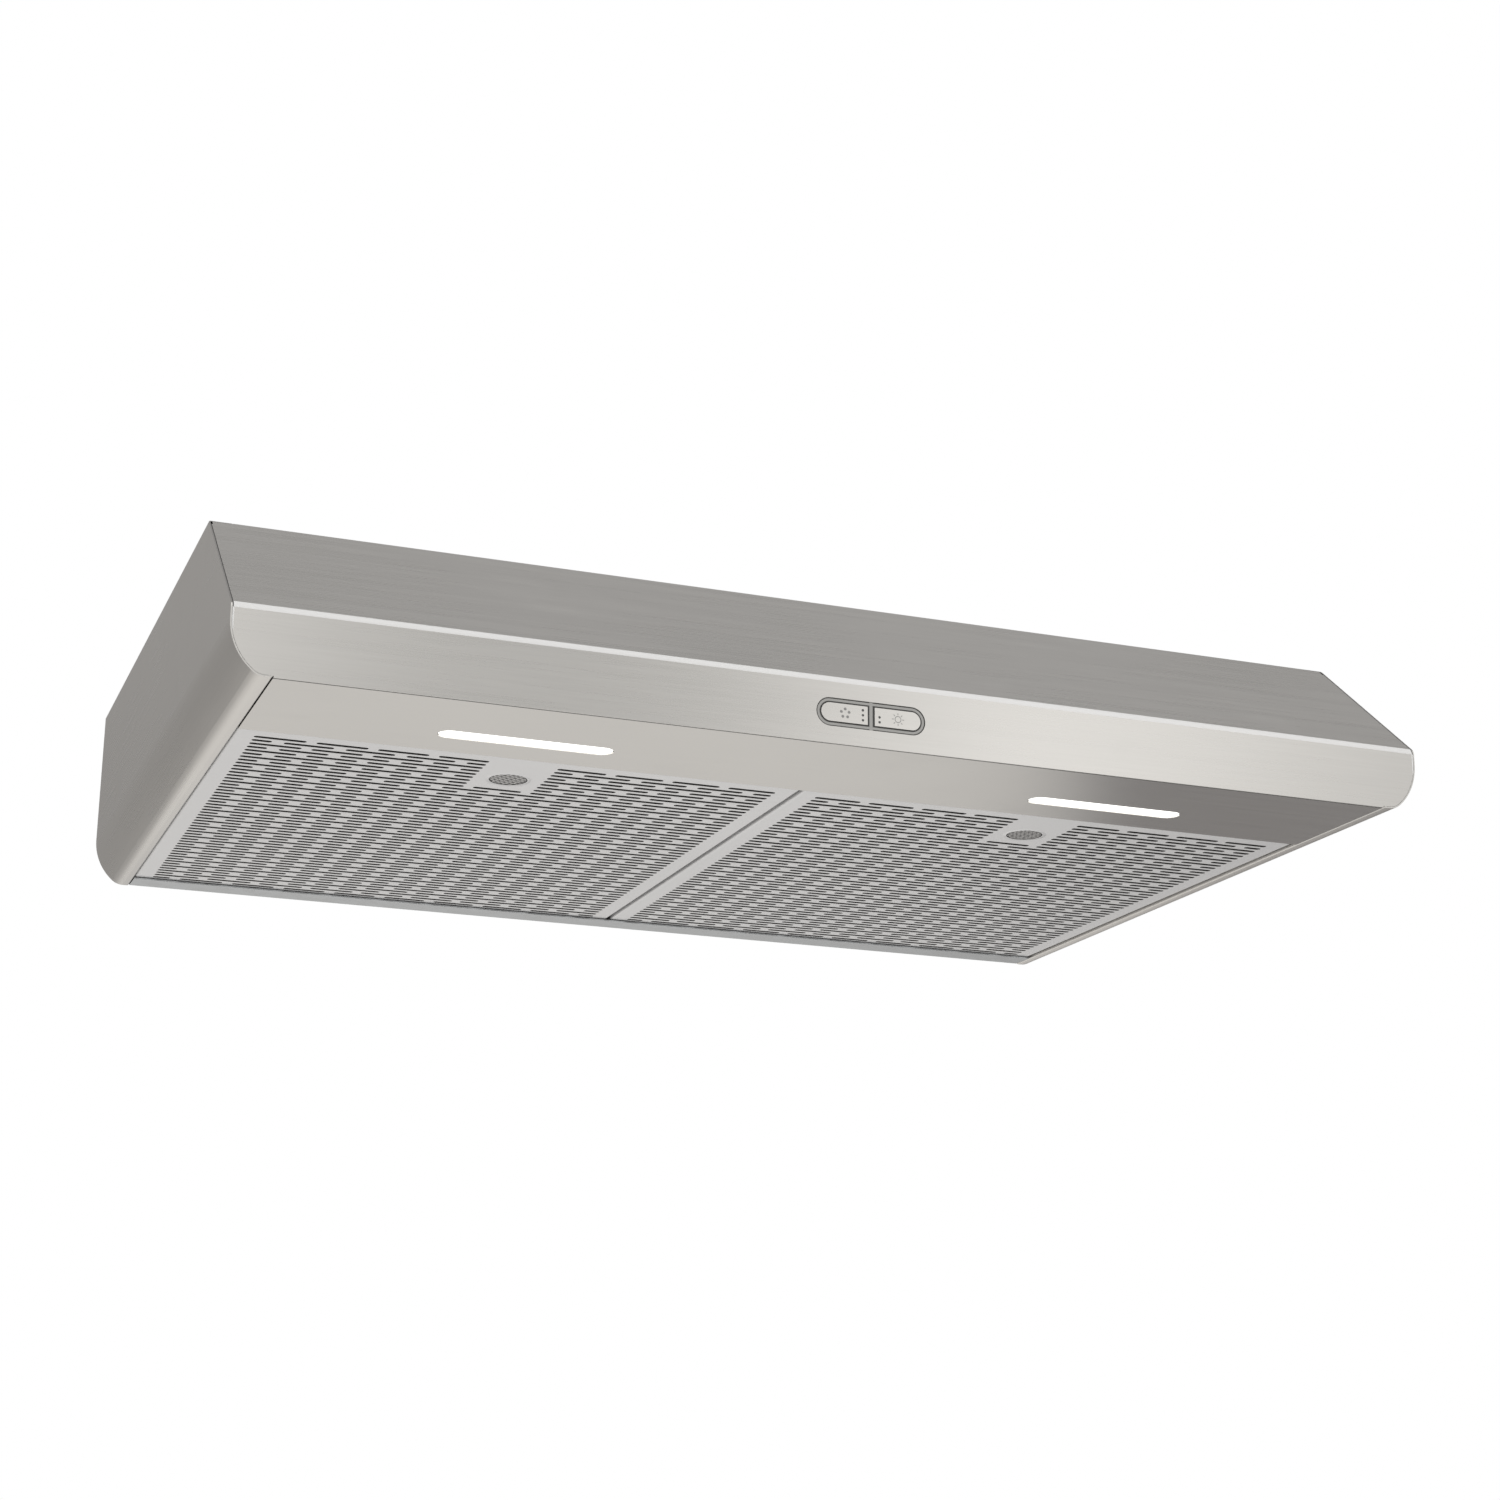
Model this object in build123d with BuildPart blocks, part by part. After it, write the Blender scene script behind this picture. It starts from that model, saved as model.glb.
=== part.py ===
from build123d import *

import os
from math import acos, degrees, sqrt

# Under cabinet range hood, millimetres. +X is to the right of a person facing the hood, +Y goes
# back to the wall, +Z up. The origin is the middle of the underside.

# ---------------------------------------------------------------- case
case_width = 758.8
case_depth = 520.0
case_height = 124.0
case_sheet = 0.9
seam = 0.15
fascia_height = 40.0
slant_depth = 99.7
fascia_bend = 5.0
fold = 2.0
side_corner_radius = 37.0
side_edge_radius = 12.0
side_edge_inset = 20.8
side_flange = 25.0
side_lip_height = 9.0
top_flange = 14.0
front_flange = 18.0
rear_flange = 18.0

# ---------------------------------------------------------------- underside
strip_depth = 103.6
strip_upstand = 6.5
strip_lip = 3.4
strip_end_gap = 0.5
ledge_depth = 23.0
ledge_step = 0.4
ledge_front_band = 11.5

# ---------------------------------------------------------------- lights
light_spacing = 382.0
light_from_front = 67.8
light_length = 107.0
light_width = 15.6
lens_gap = 0.7
lens_recess = 0.4
lens_rim = 3.0
lens_rim_thickness = 1.4
lamp_height = 17.0
lamp_wall = 1.2
lamp_board_thickness = 1.2
lamp_board_drop = 3.0
lamp_chips = 6
lamp_chip = 3.0
lamp_chip_height = 0.8

# ---------------------------------------------------------------- controls
control_z = 19.2
control_length = 70.0
control_height = 17.5
bezel_border = 2.8
bezel_divider = 3.9
bezel_recess = 0.3
bezel_back = 2.4
bezel_flange = 3.0
bezel_fit = 0.15
button_gap = 0.3
button_travel = 1.0
button_flange = 1.2
button_flange_thickness = 1.0
button_stem = 5.0
fan_speeds = 3
light_levels = 2
indicator_rows = 3
indicator_radius = 0.8
indicator_pitch = 3.05
indicator_from_middle = 5.35
switch_size = 6.0
switch_height = 3.0
switch_plunger_radius = 1.7
switch_plunger = 0.4
stem_to_switch = 0.3
board_thickness = 1.6
control_wall = 1.2
control_case_length = 84.0
control_case_height = 19.4
control_case_depth = 15.6

# ---------------------------------------------------------------- filters
filter_sheet = 0.6
filter_recess = 1.6
filter_height = 11.0
filter_front_gap = 2.4
filter_side_gap = 1.0
filter_centre_gap = 3.2
filter_overlap = 14.0
filter_fold = 1.2
slot_length = 31.2
slot_bridge = 5.9
slot_bridge_staggered = 7.0
slot_width = 3.8
slot_row_pitch = 7.3
slot_side_margin = 11.5
slot_front_margin = 14.3
slot_rear_margin = 12.0
mesh_gap = 0.3
mesh_thickness = 6.6
back_thickness = 0.8
back_border = 12.0
back_bars = 5
back_bar_width = 8.0

# ---------------------------------------------------------------- filter latch
latch_from_front = 48.0
latch_hole_radius = 12.0
latch_button_radius = 11.2
latch_button_recess = 0.2
latch_flange_radius = 13.2
latch_flange_thickness = 0.9
latch_flange_gap = 0.3
latch_travel = 2.6
latch_gap = 0.3
latch_wall = 1.2
latch_case_half = 15.6
latch_plain_reach = 20.0
bolt_thickness = 2.2
bolt_half_width = 11.4
bolt_nose_half = 9.0
bolt_nose_reach = 2.1
bolt_bar = 7.0
wedge_half = 7.4
wedge_bite = 0.8
wedge_length = 6.0
keeper_sheet = 0.5
keeper_width = 14.0
keeper_foot = 10.0
keeper_lip_gap = 0.6
keeper_tip_gap = 0.6

# ---------------------------------------------------------------- duct and damper
duct_width = 254.0
duct_depth = 82.6
duct_from_rear = 68.0
duct_corner = 3.0
collar_height = 36.0
collar_flange = 8.0
collar_screw_x = 85.0
flap_thickness = 0.8
flap_gap = 1.0
flap_rise = 9.0
damper_pin_radius = 1.5
damper_knuckle_wall = 0.8
running_fit = 0.05

# ---------------------------------------------------------------- blower
scroll_step = 12.0
scroll_wall = 1.5
scroll_neck_length = 12.0
blower_floor_z = 30.0
blower_cover_sheet = 1.2
blower_height = 79.8
blower_flange = 10.0
inlet_to_wheel = 3.0
inlet_lip = 7.0
inlet_lip_radius = 5.0
wheel_radius = 95.0
wheel_to_scroll = 13.0
wheel_blade_depth = 18.0
wheel_bottom_gap = 4.8
wheel_height = 60.0
wheel_ring_height = 3.0
wheel_plate = 1.2
wheel_blades = 40
wheel_blade_thickness = 0.8
wheel_blade_turn = 30.0
wheel_cup_gap = 4.5
wheel_hub_radius = 9.0
wheel_hub_drop = 8.0
motor_radius = 42.0
motor_height = 46.0
motor_to_cup = 12.0
shaft_radius = 4.0
shaft_in_motor = 12.0
shaft_room = 1.0
motor_screws = 3
bush_radius = 9.0
bush_depth = 6.0
bush_proud = 3.0
guard_thickness = 1.4
guard_rings = 4
guard_ring_width = 2.0
guard_spokes = 6
hanger_spread = 140.0
hanger_from_centre = 60.0
hanger_length = 24.0
hanger_width = 18.0
hanger_sheet = 1.2

# ---------------------------------------------------------------- wiring
box_from_blower = 69.5
box_length = 90.0
box_depth = 80.0
box_height = 44.0
box_wall = 1.0
cable_radius = 11.1
bush_wall = 1.3
bush_depth = 4.5
bush_barb = 0.7
bush_barb_height = 1.5
bush_flange = 2.4
terminal_length = 40.0
terminal_depth = 16.0
terminal_height = 14.0
terminal_ways = 3
terminal_screw_depth = 7.0
capacitor_radius = 12.0
capacitor_length = 52.0
lead_radius = 2.2
lead_bend = 12.0
lead_run = 30.0
lead_behind_slant = 20.0

# ---------------------------------------------------------------- fixing
screw_radius = 1.9
screw_head_radius = 3.8
screw_head_height = 2.0
screw_tail = 4.0
hanging_slot_width = 6.4
hanging_slot_length = 16.0
hanging_slot_side = 59.4
hanging_slot_front = 150.0
hanging_slot_rear = 60.0

# ---------------------------------------------------------------- places worked out from the sizes
front = -case_depth / 2
rear = case_depth / 2
half_width = case_width / 2
bay_half = half_width - side_flange
corner_x = half_width - side_corner_radius
edge_x = half_width - side_edge_inset
edge_z = side_edge_radius
arc_difference = side_corner_radius - side_edge_radius
arc_offset = side_corner_radius - side_edge_inset
corner_z = edge_z + sqrt(arc_difference ** 2 - arc_offset ** 2)
corner_turn = degrees(acos(arc_offset / arc_difference))
top_outer = case_height
top_under = case_height - case_sheet
top_inner = top_under - case_sheet

filter_front = front + strip_depth + filter_front_gap
ledge_front = rear - ledge_depth
filter_rear = ledge_front + filter_overlap
filter_depth = filter_rear - filter_front
filter_outer = bay_half - filter_side_gap
filter_inner = filter_centre_gap / 2
filter_width = filter_outer - filter_inner
filter_x = (filter_outer + filter_inner) / 2
filter_y = (filter_front + filter_rear) / 2
filter_top = filter_recess + filter_height
filter_floor = filter_recess + filter_sheet
mesh_bottom = filter_floor + mesh_gap
back_bottom = mesh_bottom + mesh_thickness + mesh_gap

latch_y = filter_front + latch_from_front
latch_face_z = filter_recess + latch_button_recess
latch_flange_z = filter_floor + latch_flange_gap
latch_flange_top = latch_flange_z + latch_flange_thickness
bolt_bottom = latch_flange_top + latch_travel + latch_gap
bolt_top = bolt_bottom + bolt_thickness
wedge_top = bolt_bottom + wedge_bite
latch_case_inner_top = wedge_top + latch_travel + latch_gap
latch_case_top = latch_case_inner_top + latch_wall
latch_case_inner_half = latch_case_half - latch_wall
latch_case_rear = latch_y + latch_case_half
latch_case_front = filter_front + filter_fold

duct_y = rear - duct_from_rear
collar_inner_width = duct_width - 2 * case_sheet
collar_inner_depth = duct_depth - 2 * case_sheet
flap_z = top_outer + flap_rise
damper_pin_y = duct_y - collar_inner_depth / 2 + damper_pin_radius + damper_knuckle_wall + flap_gap

wheel_inner_radius = wheel_radius - wheel_blade_depth
inlet_radius = wheel_inner_radius - inlet_to_wheel
scroll_start_radius = wheel_radius + wheel_to_scroll
scroll_half_step = scroll_step / 2
plenum_half = duct_width / 2 - scroll_wall
plenum_front = duct_y - duct_depth / 2 + scroll_wall
plenum_rear = duct_y + duct_depth / 2 - scroll_wall
blower_x = plenum_half - scroll_half_step - scroll_start_radius - 2 * scroll_step
blower_y = plenum_front - scroll_neck_length - scroll_start_radius + scroll_half_step
blower_base_z = blower_floor_z + blower_cover_sheet
blower_top_z = blower_base_z + blower_height
motor_top = blower_top_z - scroll_wall
motor_bottom = motor_top - motor_height
wheel_bottom = blower_base_z + wheel_bottom_gap
wheel_top = wheel_bottom + wheel_height
wheel_cup_floor = motor_bottom - motor_to_cup
wheel_cup_radius = motor_radius + wheel_cup_gap

hanging_slot_x = half_width - hanging_slot_side
box_x = plenum_half + blower_flange + box_from_blower + box_length / 2
box_y = duct_y
box_fitting_y = box_depth / 4
box_top = top_inner
box_bottom = box_top - box_height

lamp_x = light_spacing / 2
lamp_y = front + light_from_front
lamp_length = light_length + 2 * (lens_rim + lamp_wall + seam)
lamp_width = light_width + 2 * (lens_rim + lamp_wall + seam)
lamp_bottom = case_sheet
lamp_top = lamp_bottom + lamp_height

fascia_back = front + case_sheet
bezel_rear = front + bezel_back
stem_end = bezel_rear + button_gap + button_flange_thickness + button_stem
plunger_front = stem_end + button_travel + stem_to_switch
board_front = plunger_front + switch_plunger + switch_height
opening_length = control_length - 2 * bezel_border
opening_height = control_height - 2 * bezel_border
button_x = (opening_length / 2 + bezel_divider / 2) / 2

SIDES = (("left", -1), ("right", 1))


def save(part, name):
    """Label a finished piece and write its STEP file under the same name."""
    part.label = name
    export_step(part, f"parts/{name}.step")


def box_between(low, high, mode=Mode.ADD):
    """A box given by its lowest and highest corners, inside the open part."""
    size = [b - a for a, b in zip(low, high)]
    middle = [(a + b) / 2 for a, b in zip(low, high)]
    with Locations(tuple(middle)):
        Box(*size, mode=mode)


def corner_arcs(inward):
    """The right-hand lower corner of the case as two tangent arcs, moved inward."""
    CenterArc((edge_x, edge_z), side_edge_radius - inward, -90, 90 - corner_turn)
    CenterArc((corner_x, corner_z), side_corner_radius - inward, -corner_turn, corner_turn)


def case_inside_section(y):
    """The section that end sheets may fill between the two side panels, drawn at one depth."""
    inset = case_sheet + seam
    middle = bay_half - strip_end_gap
    with BuildSketch(Plane.XZ.offset(-y)) as section:
        with BuildLine():
            Polyline((0, 0), (middle, 0), (middle, inset), (edge_x, inset))
            corner_arcs(inset)
            Polyline((half_width - inset, corner_z), (half_width - inset, top_outer),
                     (0, top_outer), (0, 0))
        make_face()
        mirror(about=Plane.YZ)
    return section.sketch


def above_the_slant():
    """What lies in front of and above the sloping face, seen from the side."""
    lowest = fascia_height - 2 * fascia_bend
    rearmost = front + slant_depth + 2 * fold
    with BuildSketch(Plane.YZ) as outside:
        with BuildLine():
            FilletPolyline((front, lowest), (front, fascia_height), (front + slant_depth, top_outer),
                           (rearmost, top_outer), radius=[fascia_bend, fold])
            Polyline((rearmost, top_outer), (rearmost, 2 * top_outer), (2 * front, 2 * top_outer),
                     (2 * front, lowest), (front, lowest))
        make_face()
    return outside.sketch


# ================================================================ case
def make_side_panel():
    with BuildPart() as panel:
        with BuildSketch(Plane.XZ.offset(-rear)):
            with BuildLine():
                FilletPolyline((bay_half, side_lip_height), (bay_half, 0), (edge_x, 0),
                               radius=case_sheet + seam)
                corner_arcs(0)
                FilletPolyline((half_width, corner_z), (half_width, top_outer),
                               (half_width - top_flange, top_outer), radius=fold)
                offset(amount=case_sheet, side=Side.LEFT)
            make_face()
        extrude(amount=case_depth)
        extrude(above_the_slant(), amount=case_width, mode=Mode.SUBTRACT)
        end = case_sheet + seam
        for low_y, high_y in ((front, front + end), (rear - end, rear)):
            box_between((bay_half, low_y, end), (edge_x, high_y, side_lip_height), Mode.SUBTRACT)
    return panel.part


def make_front_panel():
    notch_half = half_width - top_flange - strip_end_gap
    corner_end = half_width - fold - seam
    flange_rear = front + slant_depth + front_flange
    notch_front = front + slant_depth - fold / 2
    with BuildPart() as panel:
        with BuildSketch(Plane.YZ):
            with BuildLine():
                FilletPolyline((front, 0), (front, fascia_height), (front + slant_depth, top_outer),
                               (flange_rear, top_outer), radius=[fascia_bend, fold])
                offset(amount=case_sheet, side=Side.RIGHT)
            make_face()
        extrude(amount=half_width, both=True)
        extrude(case_inside_section(flange_rear), amount=flange_rear - front, mode=Mode.INTERSECT)
        for side in (-1, 1):
            for inner_end, start in ((notch_half, notch_front), (corner_end, notch_front - 2 * fold)):
                ends = sorted((side * inner_end, side * half_width))
                box_between((ends[0], start, top_inner - fold), (ends[1], flange_rear, top_outer),
                            Mode.SUBTRACT)
        with BuildSketch(Plane.XZ.offset(-front)):
            with Locations((0, control_z)):
                SlotOverall(control_length, control_height)
        extrude(amount=-case_sheet, mode=Mode.SUBTRACT)
    return panel.part


def make_light_strip():
    with BuildPart() as strip:
        with BuildSketch(Plane.YZ):
            with BuildLine():
                FilletPolyline((fascia_back, strip_upstand), (fascia_back, 0), (front + strip_depth, 0),
                               (front + strip_depth, strip_lip), radius=case_sheet + seam)
                offset(amount=case_sheet, side=Side.LEFT)
            make_face()
        extrude(amount=bay_half - strip_end_gap, both=True)
        with BuildSketch(Plane.XY):
            with Locations((-lamp_x, lamp_y), (lamp_x, lamp_y)):
                SlotOverall(light_length, light_width)
        extrude(amount=case_sheet, mode=Mode.SUBTRACT)
    return strip.part


def make_top_panel():
    reach = half_width - fold - strip_end_gap
    panel_front = front + slant_depth + 2 * fold
    panel_rear = rear - fold - strip_end_gap
    with BuildPart() as panel:
        box_between((-reach, panel_front, top_inner), (reach, panel_rear, top_under))
        with BuildSketch(Plane.XY.offset(top_inner)):
            with Locations((0, duct_y)):
                RectangleRounded(collar_inner_width, collar_inner_depth, duct_corner)
            slot_rows = (front + hanging_slot_front, rear - hanging_slot_rear)
            with Locations(*[(side * hanging_slot_x, y) for side in (-1, 1) for y in slot_rows]):
                SlotOverall(hanging_slot_length, hanging_slot_width)
            with Locations((box_x, box_y)):
                Circle(cable_radius + bush_wall)
            with Locations(*collar_screw_places()):
                Circle(screw_radius)
        extrude(amount=case_sheet, mode=Mode.SUBTRACT)
    return panel.part


def make_rear_panel():
    step_front = ledge_front + ledge_front_band
    with BuildPart() as panel:
        extrude(case_inside_section(rear), amount=case_sheet)
        with BuildSketch(Plane.YZ):
            with BuildLine():
                Polyline((ledge_front, 0), (step_front, 0), (step_front + case_sheet, ledge_step))
                FilletPolyline((step_front + case_sheet, ledge_step), (rear, ledge_step),
                               (rear, top_outer), (rear - rear_flange, top_outer),
                               radius=case_sheet + seam)
                offset(amount=case_sheet, side=Side.LEFT)
            make_face()
        extrude(amount=bay_half - strip_end_gap, both=True)
        box_between((-half_width, rear - case_sheet, 0), (half_width, rear, ledge_step), Mode.SUBTRACT)
        for side in (-1, 1):
            ends = sorted((side * (half_width - top_flange - strip_end_gap), side * half_width))
            box_between((ends[0], rear - case_sheet, top_inner), (ends[1], rear, top_outer),
                        Mode.SUBTRACT)
    return panel.part


# ================================================================ lights
def make_lens(x):
    with BuildPart() as lens:
        with BuildSketch(Plane((x, lamp_y, lens_recess))):
            SlotOverall(light_length - 2 * lens_gap, light_width - 2 * lens_gap)
        extrude(amount=case_sheet - lens_recess)
        with BuildSketch(Plane((x, lamp_y, case_sheet))):
            SlotOverall(light_length + 2 * lens_rim, light_width + 2 * lens_rim)
        extrude(amount=lens_rim_thickness)
    return lens.part


def make_lamp_housing(x):
    low = (x - lamp_length / 2, lamp_y - lamp_width / 2, lamp_bottom)
    high = (x + lamp_length / 2, lamp_y + lamp_width / 2, lamp_top)
    with BuildPart() as housing:
        box_between(low, high)
        offset(amount=-lamp_wall, openings=housing.faces().sort_by(Axis.Z)[0])
    return housing.part


def make_lamp_board(x):
    top = lamp_top - lamp_wall - lamp_board_drop
    length = lamp_length - 2 * lamp_wall
    depth = lamp_width - 2 * lamp_wall
    with BuildPart() as board:
        with BuildSketch(Plane((x, lamp_y, top))):
            Rectangle(length, depth)
        extrude(amount=-lamp_board_thickness)
        with BuildSketch(Plane((x, lamp_y, top - lamp_board_thickness))):
            with GridLocations(length / lamp_chips, 0, lamp_chips, 1):
                Rectangle(lamp_chip, lamp_chip)
        extrude(amount=-lamp_chip_height)
    return board.part


# ================================================================ controls
def make_bezel():
    with BuildPart() as bezel:
        with BuildSketch(Plane.XZ.offset(-front - bezel_recess)):
            with Locations((0, control_z)):
                SlotOverall(control_length - 2 * bezel_fit, control_height - 2 * bezel_fit)
        extrude(amount=bezel_recess - bezel_back)
        with BuildSketch(Plane.XZ.offset(-fascia_back)):
            with Locations((0, control_z)):
                SlotOverall(control_length + 2 * bezel_flange, control_height + 2 * bezel_flange)
        extrude(amount=case_sheet - bezel_back)
        with BuildSketch(Plane.XZ.offset(-front)):
            with Locations((0, control_z)):
                SlotOverall(opening_length, opening_height)
                Rectangle(bezel_divider, control_height, mode=Mode.SUBTRACT)
        extrude(amount=-bezel_back, mode=Mode.SUBTRACT)
    return bezel.part


def button_outline(side, grow):
    """One half of the bezel's opening, smaller by its gap or larger by its flange."""
    inner = bezel_divider / 2 - grow
    length = opening_length + 2 * grow
    with Locations((0, control_z)):
        SlotOverall(length, opening_height + 2 * grow)
        with Locations((side * (inner + length / 4), 0)):
            Rectangle(length / 2, control_height, mode=Mode.INTERSECT)


def indicator_places(side, count):
    """Centres of the indicator dots on one button, from the upper place downwards."""
    middle_row = (indicator_rows - 1) / 2
    return [(side * indicator_from_middle, control_z + (middle_row - row) * indicator_pitch)
            for row in range(indicator_rows - count, indicator_rows)]


def make_button(side, indicators):
    flange_front = bezel_rear + button_gap
    flange_rear = flange_front + button_flange_thickness
    with BuildPart() as button:
        with BuildSketch(Plane.XZ.offset(-front)):
            button_outline(side, -button_gap)
        extrude(amount=-(flange_rear - front))
        with BuildSketch(Plane.XZ.offset(-flange_front)):
            button_outline(side, button_flange)
        extrude(amount=-button_flange_thickness)
        with BuildSketch(Plane.XZ.offset(-flange_rear)):
            with Locations((side * button_x, control_z)):
                Rectangle(switch_size, switch_size)
        extrude(amount=-button_stem)
        with BuildSketch(Plane.XZ.offset(-front)):
            with Locations(*indicator_places(side, indicators)):
                Circle(indicator_radius)
        extrude(amount=-(flange_rear - front), mode=Mode.SUBTRACT)
    return button.part


def make_indicators(side, count):
    length = bezel_back + button_gap + button_flange_thickness
    with BuildPart() as dots:
        with BuildSketch(Plane.XZ.offset(-front)):
            with Locations(*indicator_places(side, count)):
                Circle(indicator_radius)
        extrude(amount=-length)
    return dots.part


def make_control_case():
    with BuildPart() as case:
        with BuildSketch(Plane.XZ.offset(-bezel_rear)):
            with Locations((0, control_z)):
                Rectangle(control_case_length, control_case_height)
        extrude(amount=-control_case_depth)
        offset(amount=-control_wall, openings=case.faces().sort_by(Axis.Y)[0])
    return case.part


def make_control_board():
    with BuildPart() as board:
        with BuildSketch(Plane.XZ.offset(-board_front)):
            with Locations((0, control_z)):
                Rectangle(control_case_length - 2 * control_wall, control_case_height - 2 * control_wall)
        extrude(amount=-board_thickness)
    return board.part


def make_switches():
    places = [(-button_x, control_z), (button_x, control_z)]
    with BuildPart() as switches:
        with BuildSketch(Plane.XZ.offset(-board_front)):
            with Locations(*places):
                Rectangle(switch_size, switch_size)
        extrude(amount=switch_height)
        with BuildSketch(Plane.XZ.offset(-board_front + switch_height)):
            with Locations(*places):
                Circle(switch_plunger_radius)
        extrude(amount=switch_plunger)
    return switches.part


# ================================================================ filters
def slot_rows():
    """Every slot of the filter sheet from its centre: (x, y, length), in staggered rows."""
    pitch = slot_length + slot_bridge
    half_columns = int((filter_width / 2 - slot_side_margin - slot_length / 2) / pitch)
    half_run = half_columns * pitch + slot_length / 2
    staggered = pitch - slot_bridge_staggered
    inner_end = (half_columns - 0.5) * pitch + staggered / 2
    short = half_run - inner_end - slot_bridge_staggered
    rows = int((filter_depth - slot_front_margin - slot_rear_margin) / slot_row_pitch) + 1
    slots = []
    for row in range(rows):
        along = slot_front_margin + row * slot_row_pitch
        y = filter_front + along
        beside_latch = along < latch_from_front + latch_plain_reach
        if row % 2 == 0:
            for column in range(-half_columns, half_columns + 1):
                if column or not beside_latch:
                    slots.append((column * pitch, y, slot_length))
            continue
        for side in (-1, 1):
            slots.append((side * (half_run - short / 2), y, short))
            for column in range(half_columns):
                x = side * (column + 0.5) * pitch
                if column or not beside_latch:
                    slots.append((x, y, staggered))
                else:
                    slots.append((x + side * (staggered - short) / 2, y, short))
    return slots


def make_filter_tray(x):
    with BuildPart() as tray:
        box_between((x - filter_width / 2, filter_front, filter_recess),
                    (x + filter_width / 2, filter_rear, filter_top))
        fillet(tray.faces().sort_by(Axis.Z)[0].edges(), filter_fold)
        offset(amount=-filter_sheet, openings=tray.faces().sort_by(Axis.Z)[-1])
        with BuildSketch(Plane((x, 0, filter_recess))):
            slots = slot_rows()
            for length in sorted({slot[2] for slot in slots}):
                with Locations(*[(slot[0], slot[1]) for slot in slots if slot[2] == length]):
                    SlotOverall(length, slot_width)
            with Locations((0, latch_y)):
                Circle(latch_hole_radius)
        extrude(amount=filter_sheet, mode=Mode.SUBTRACT)
        box_between((x - bolt_nose_half - latch_gap, filter_front, bolt_bottom - latch_gap),
                    (x + bolt_nose_half + latch_gap, filter_front + filter_sheet, bolt_top + latch_gap),
                    Mode.SUBTRACT)
    return tray.part


def latch_case_clearance(x, bottom, top):
    """Cut away the room that the latch case takes out of a layer of the filter."""
    reach = latch_case_half + latch_gap
    box_between((x - reach, filter_front, bottom), (x + reach, latch_case_rear + latch_gap, top),
                Mode.SUBTRACT)


def make_filter_mesh(x):
    inset = filter_sheet + filter_fold
    with BuildPart() as mesh:
        box_between((x - filter_width / 2 + inset, filter_front + inset, mesh_bottom),
                    (x + filter_width / 2 - inset, filter_rear - inset, mesh_bottom + mesh_thickness))
        latch_case_clearance(x, mesh_bottom, mesh_bottom + mesh_thickness)
    return mesh.part


def make_filter_back(x):
    inner_width = filter_width - 2 * filter_sheet
    inner_depth = filter_depth - 2 * filter_sheet
    pane = inner_width - 2 * back_border
    bay = (pane - back_bars * back_bar_width) / (back_bars + 1)
    with BuildPart() as back:
        with BuildSketch(Plane((x, filter_y, back_bottom))):
            Rectangle(inner_width, inner_depth)
            with GridLocations(bay + back_bar_width, 0, back_bars + 1, 1):
                Rectangle(bay, inner_depth - 2 * back_border, mode=Mode.SUBTRACT)
        extrude(amount=back_thickness)
        latch_case_clearance(x, back_bottom, back_bottom + back_thickness)
    return back.part


def make_latch_case(x):
    inner = latch_case_inner_half
    with BuildPart() as case:
        box_between((x - latch_case_half, latch_case_front, filter_floor),
                    (x + latch_case_half, latch_case_rear, latch_case_top))
        box_between((x - inner, latch_case_front + latch_wall, filter_floor),
                    (x + inner, latch_case_rear - latch_wall, latch_case_inner_top), Mode.SUBTRACT)
        box_between((x - bolt_half_width - latch_gap, latch_case_front, bolt_bottom - latch_gap),
                    (x + bolt_half_width + latch_gap, latch_case_front + latch_wall, bolt_top + latch_gap),
                    Mode.SUBTRACT)
    return case.part


def make_latch_button(x):
    wedge_rear = latch_y + wedge_top - latch_flange_top
    with BuildPart() as button:
        with BuildSketch(Plane((x, latch_y, latch_face_z))):
            Circle(latch_button_radius)
        extrude(amount=latch_flange_z - latch_face_z)
        with BuildSketch(Plane((x, latch_y, latch_flange_z))):
            Circle(latch_flange_radius)
        extrude(amount=latch_flange_thickness)
        with BuildSketch(Plane.YZ.offset(x)):
            Polygon((latch_y - wedge_length, latch_flange_top), (wedge_rear, latch_flange_top),
                    (latch_y, wedge_top), (latch_y - wedge_length, wedge_top), align=None)
        extrude(amount=wedge_half, both=True)
    return button.part


def make_latch_bolt(x):
    slope_low = latch_y + wedge_top - bolt_bottom + latch_gap
    slope_high = slope_low - bolt_thickness
    bar_rear = slope_low + bolt_bar
    window_half = wedge_half + latch_gap
    window_front = latch_y - wedge_length - latch_travel - latch_gap
    nose_front = filter_front - bolt_nose_reach
    body_front = filter_front + filter_sheet + latch_gap
    with BuildPart() as bolt:
        box_between((x - bolt_half_width, body_front, bolt_bottom),
                    (x + bolt_half_width, bar_rear, bolt_top))
        box_between((x - bolt_nose_half, nose_front, bolt_bottom),
                    (x + bolt_nose_half, body_front, bolt_top))
        with BuildSketch(Plane.YZ.offset(x)):
            Polygon((window_front, bolt_bottom), (slope_low, bolt_bottom), (slope_high, bolt_top),
                    (window_front, bolt_top), align=None)
        extrude(amount=window_half, both=True, mode=Mode.SUBTRACT)
    return bolt.part


def make_keeper(x):
    lip_rear = front + strip_depth
    leaf_z = strip_lip + keeper_lip_gap
    riser_y = lip_rear - case_sheet - keeper_foot / 2
    with BuildPart() as keeper:
        with BuildSketch(Plane.YZ.offset(x)):
            with BuildLine():
                Polyline((riser_y - keeper_foot, case_sheet), (riser_y, case_sheet), (riser_y, leaf_z),
                         (filter_front - keeper_tip_gap, leaf_z))
                offset(amount=keeper_sheet, side=Side.LEFT, kind=Kind.INTERSECTION)
            make_face()
        extrude(amount=keeper_width / 2, both=True)
    return keeper.part


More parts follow.
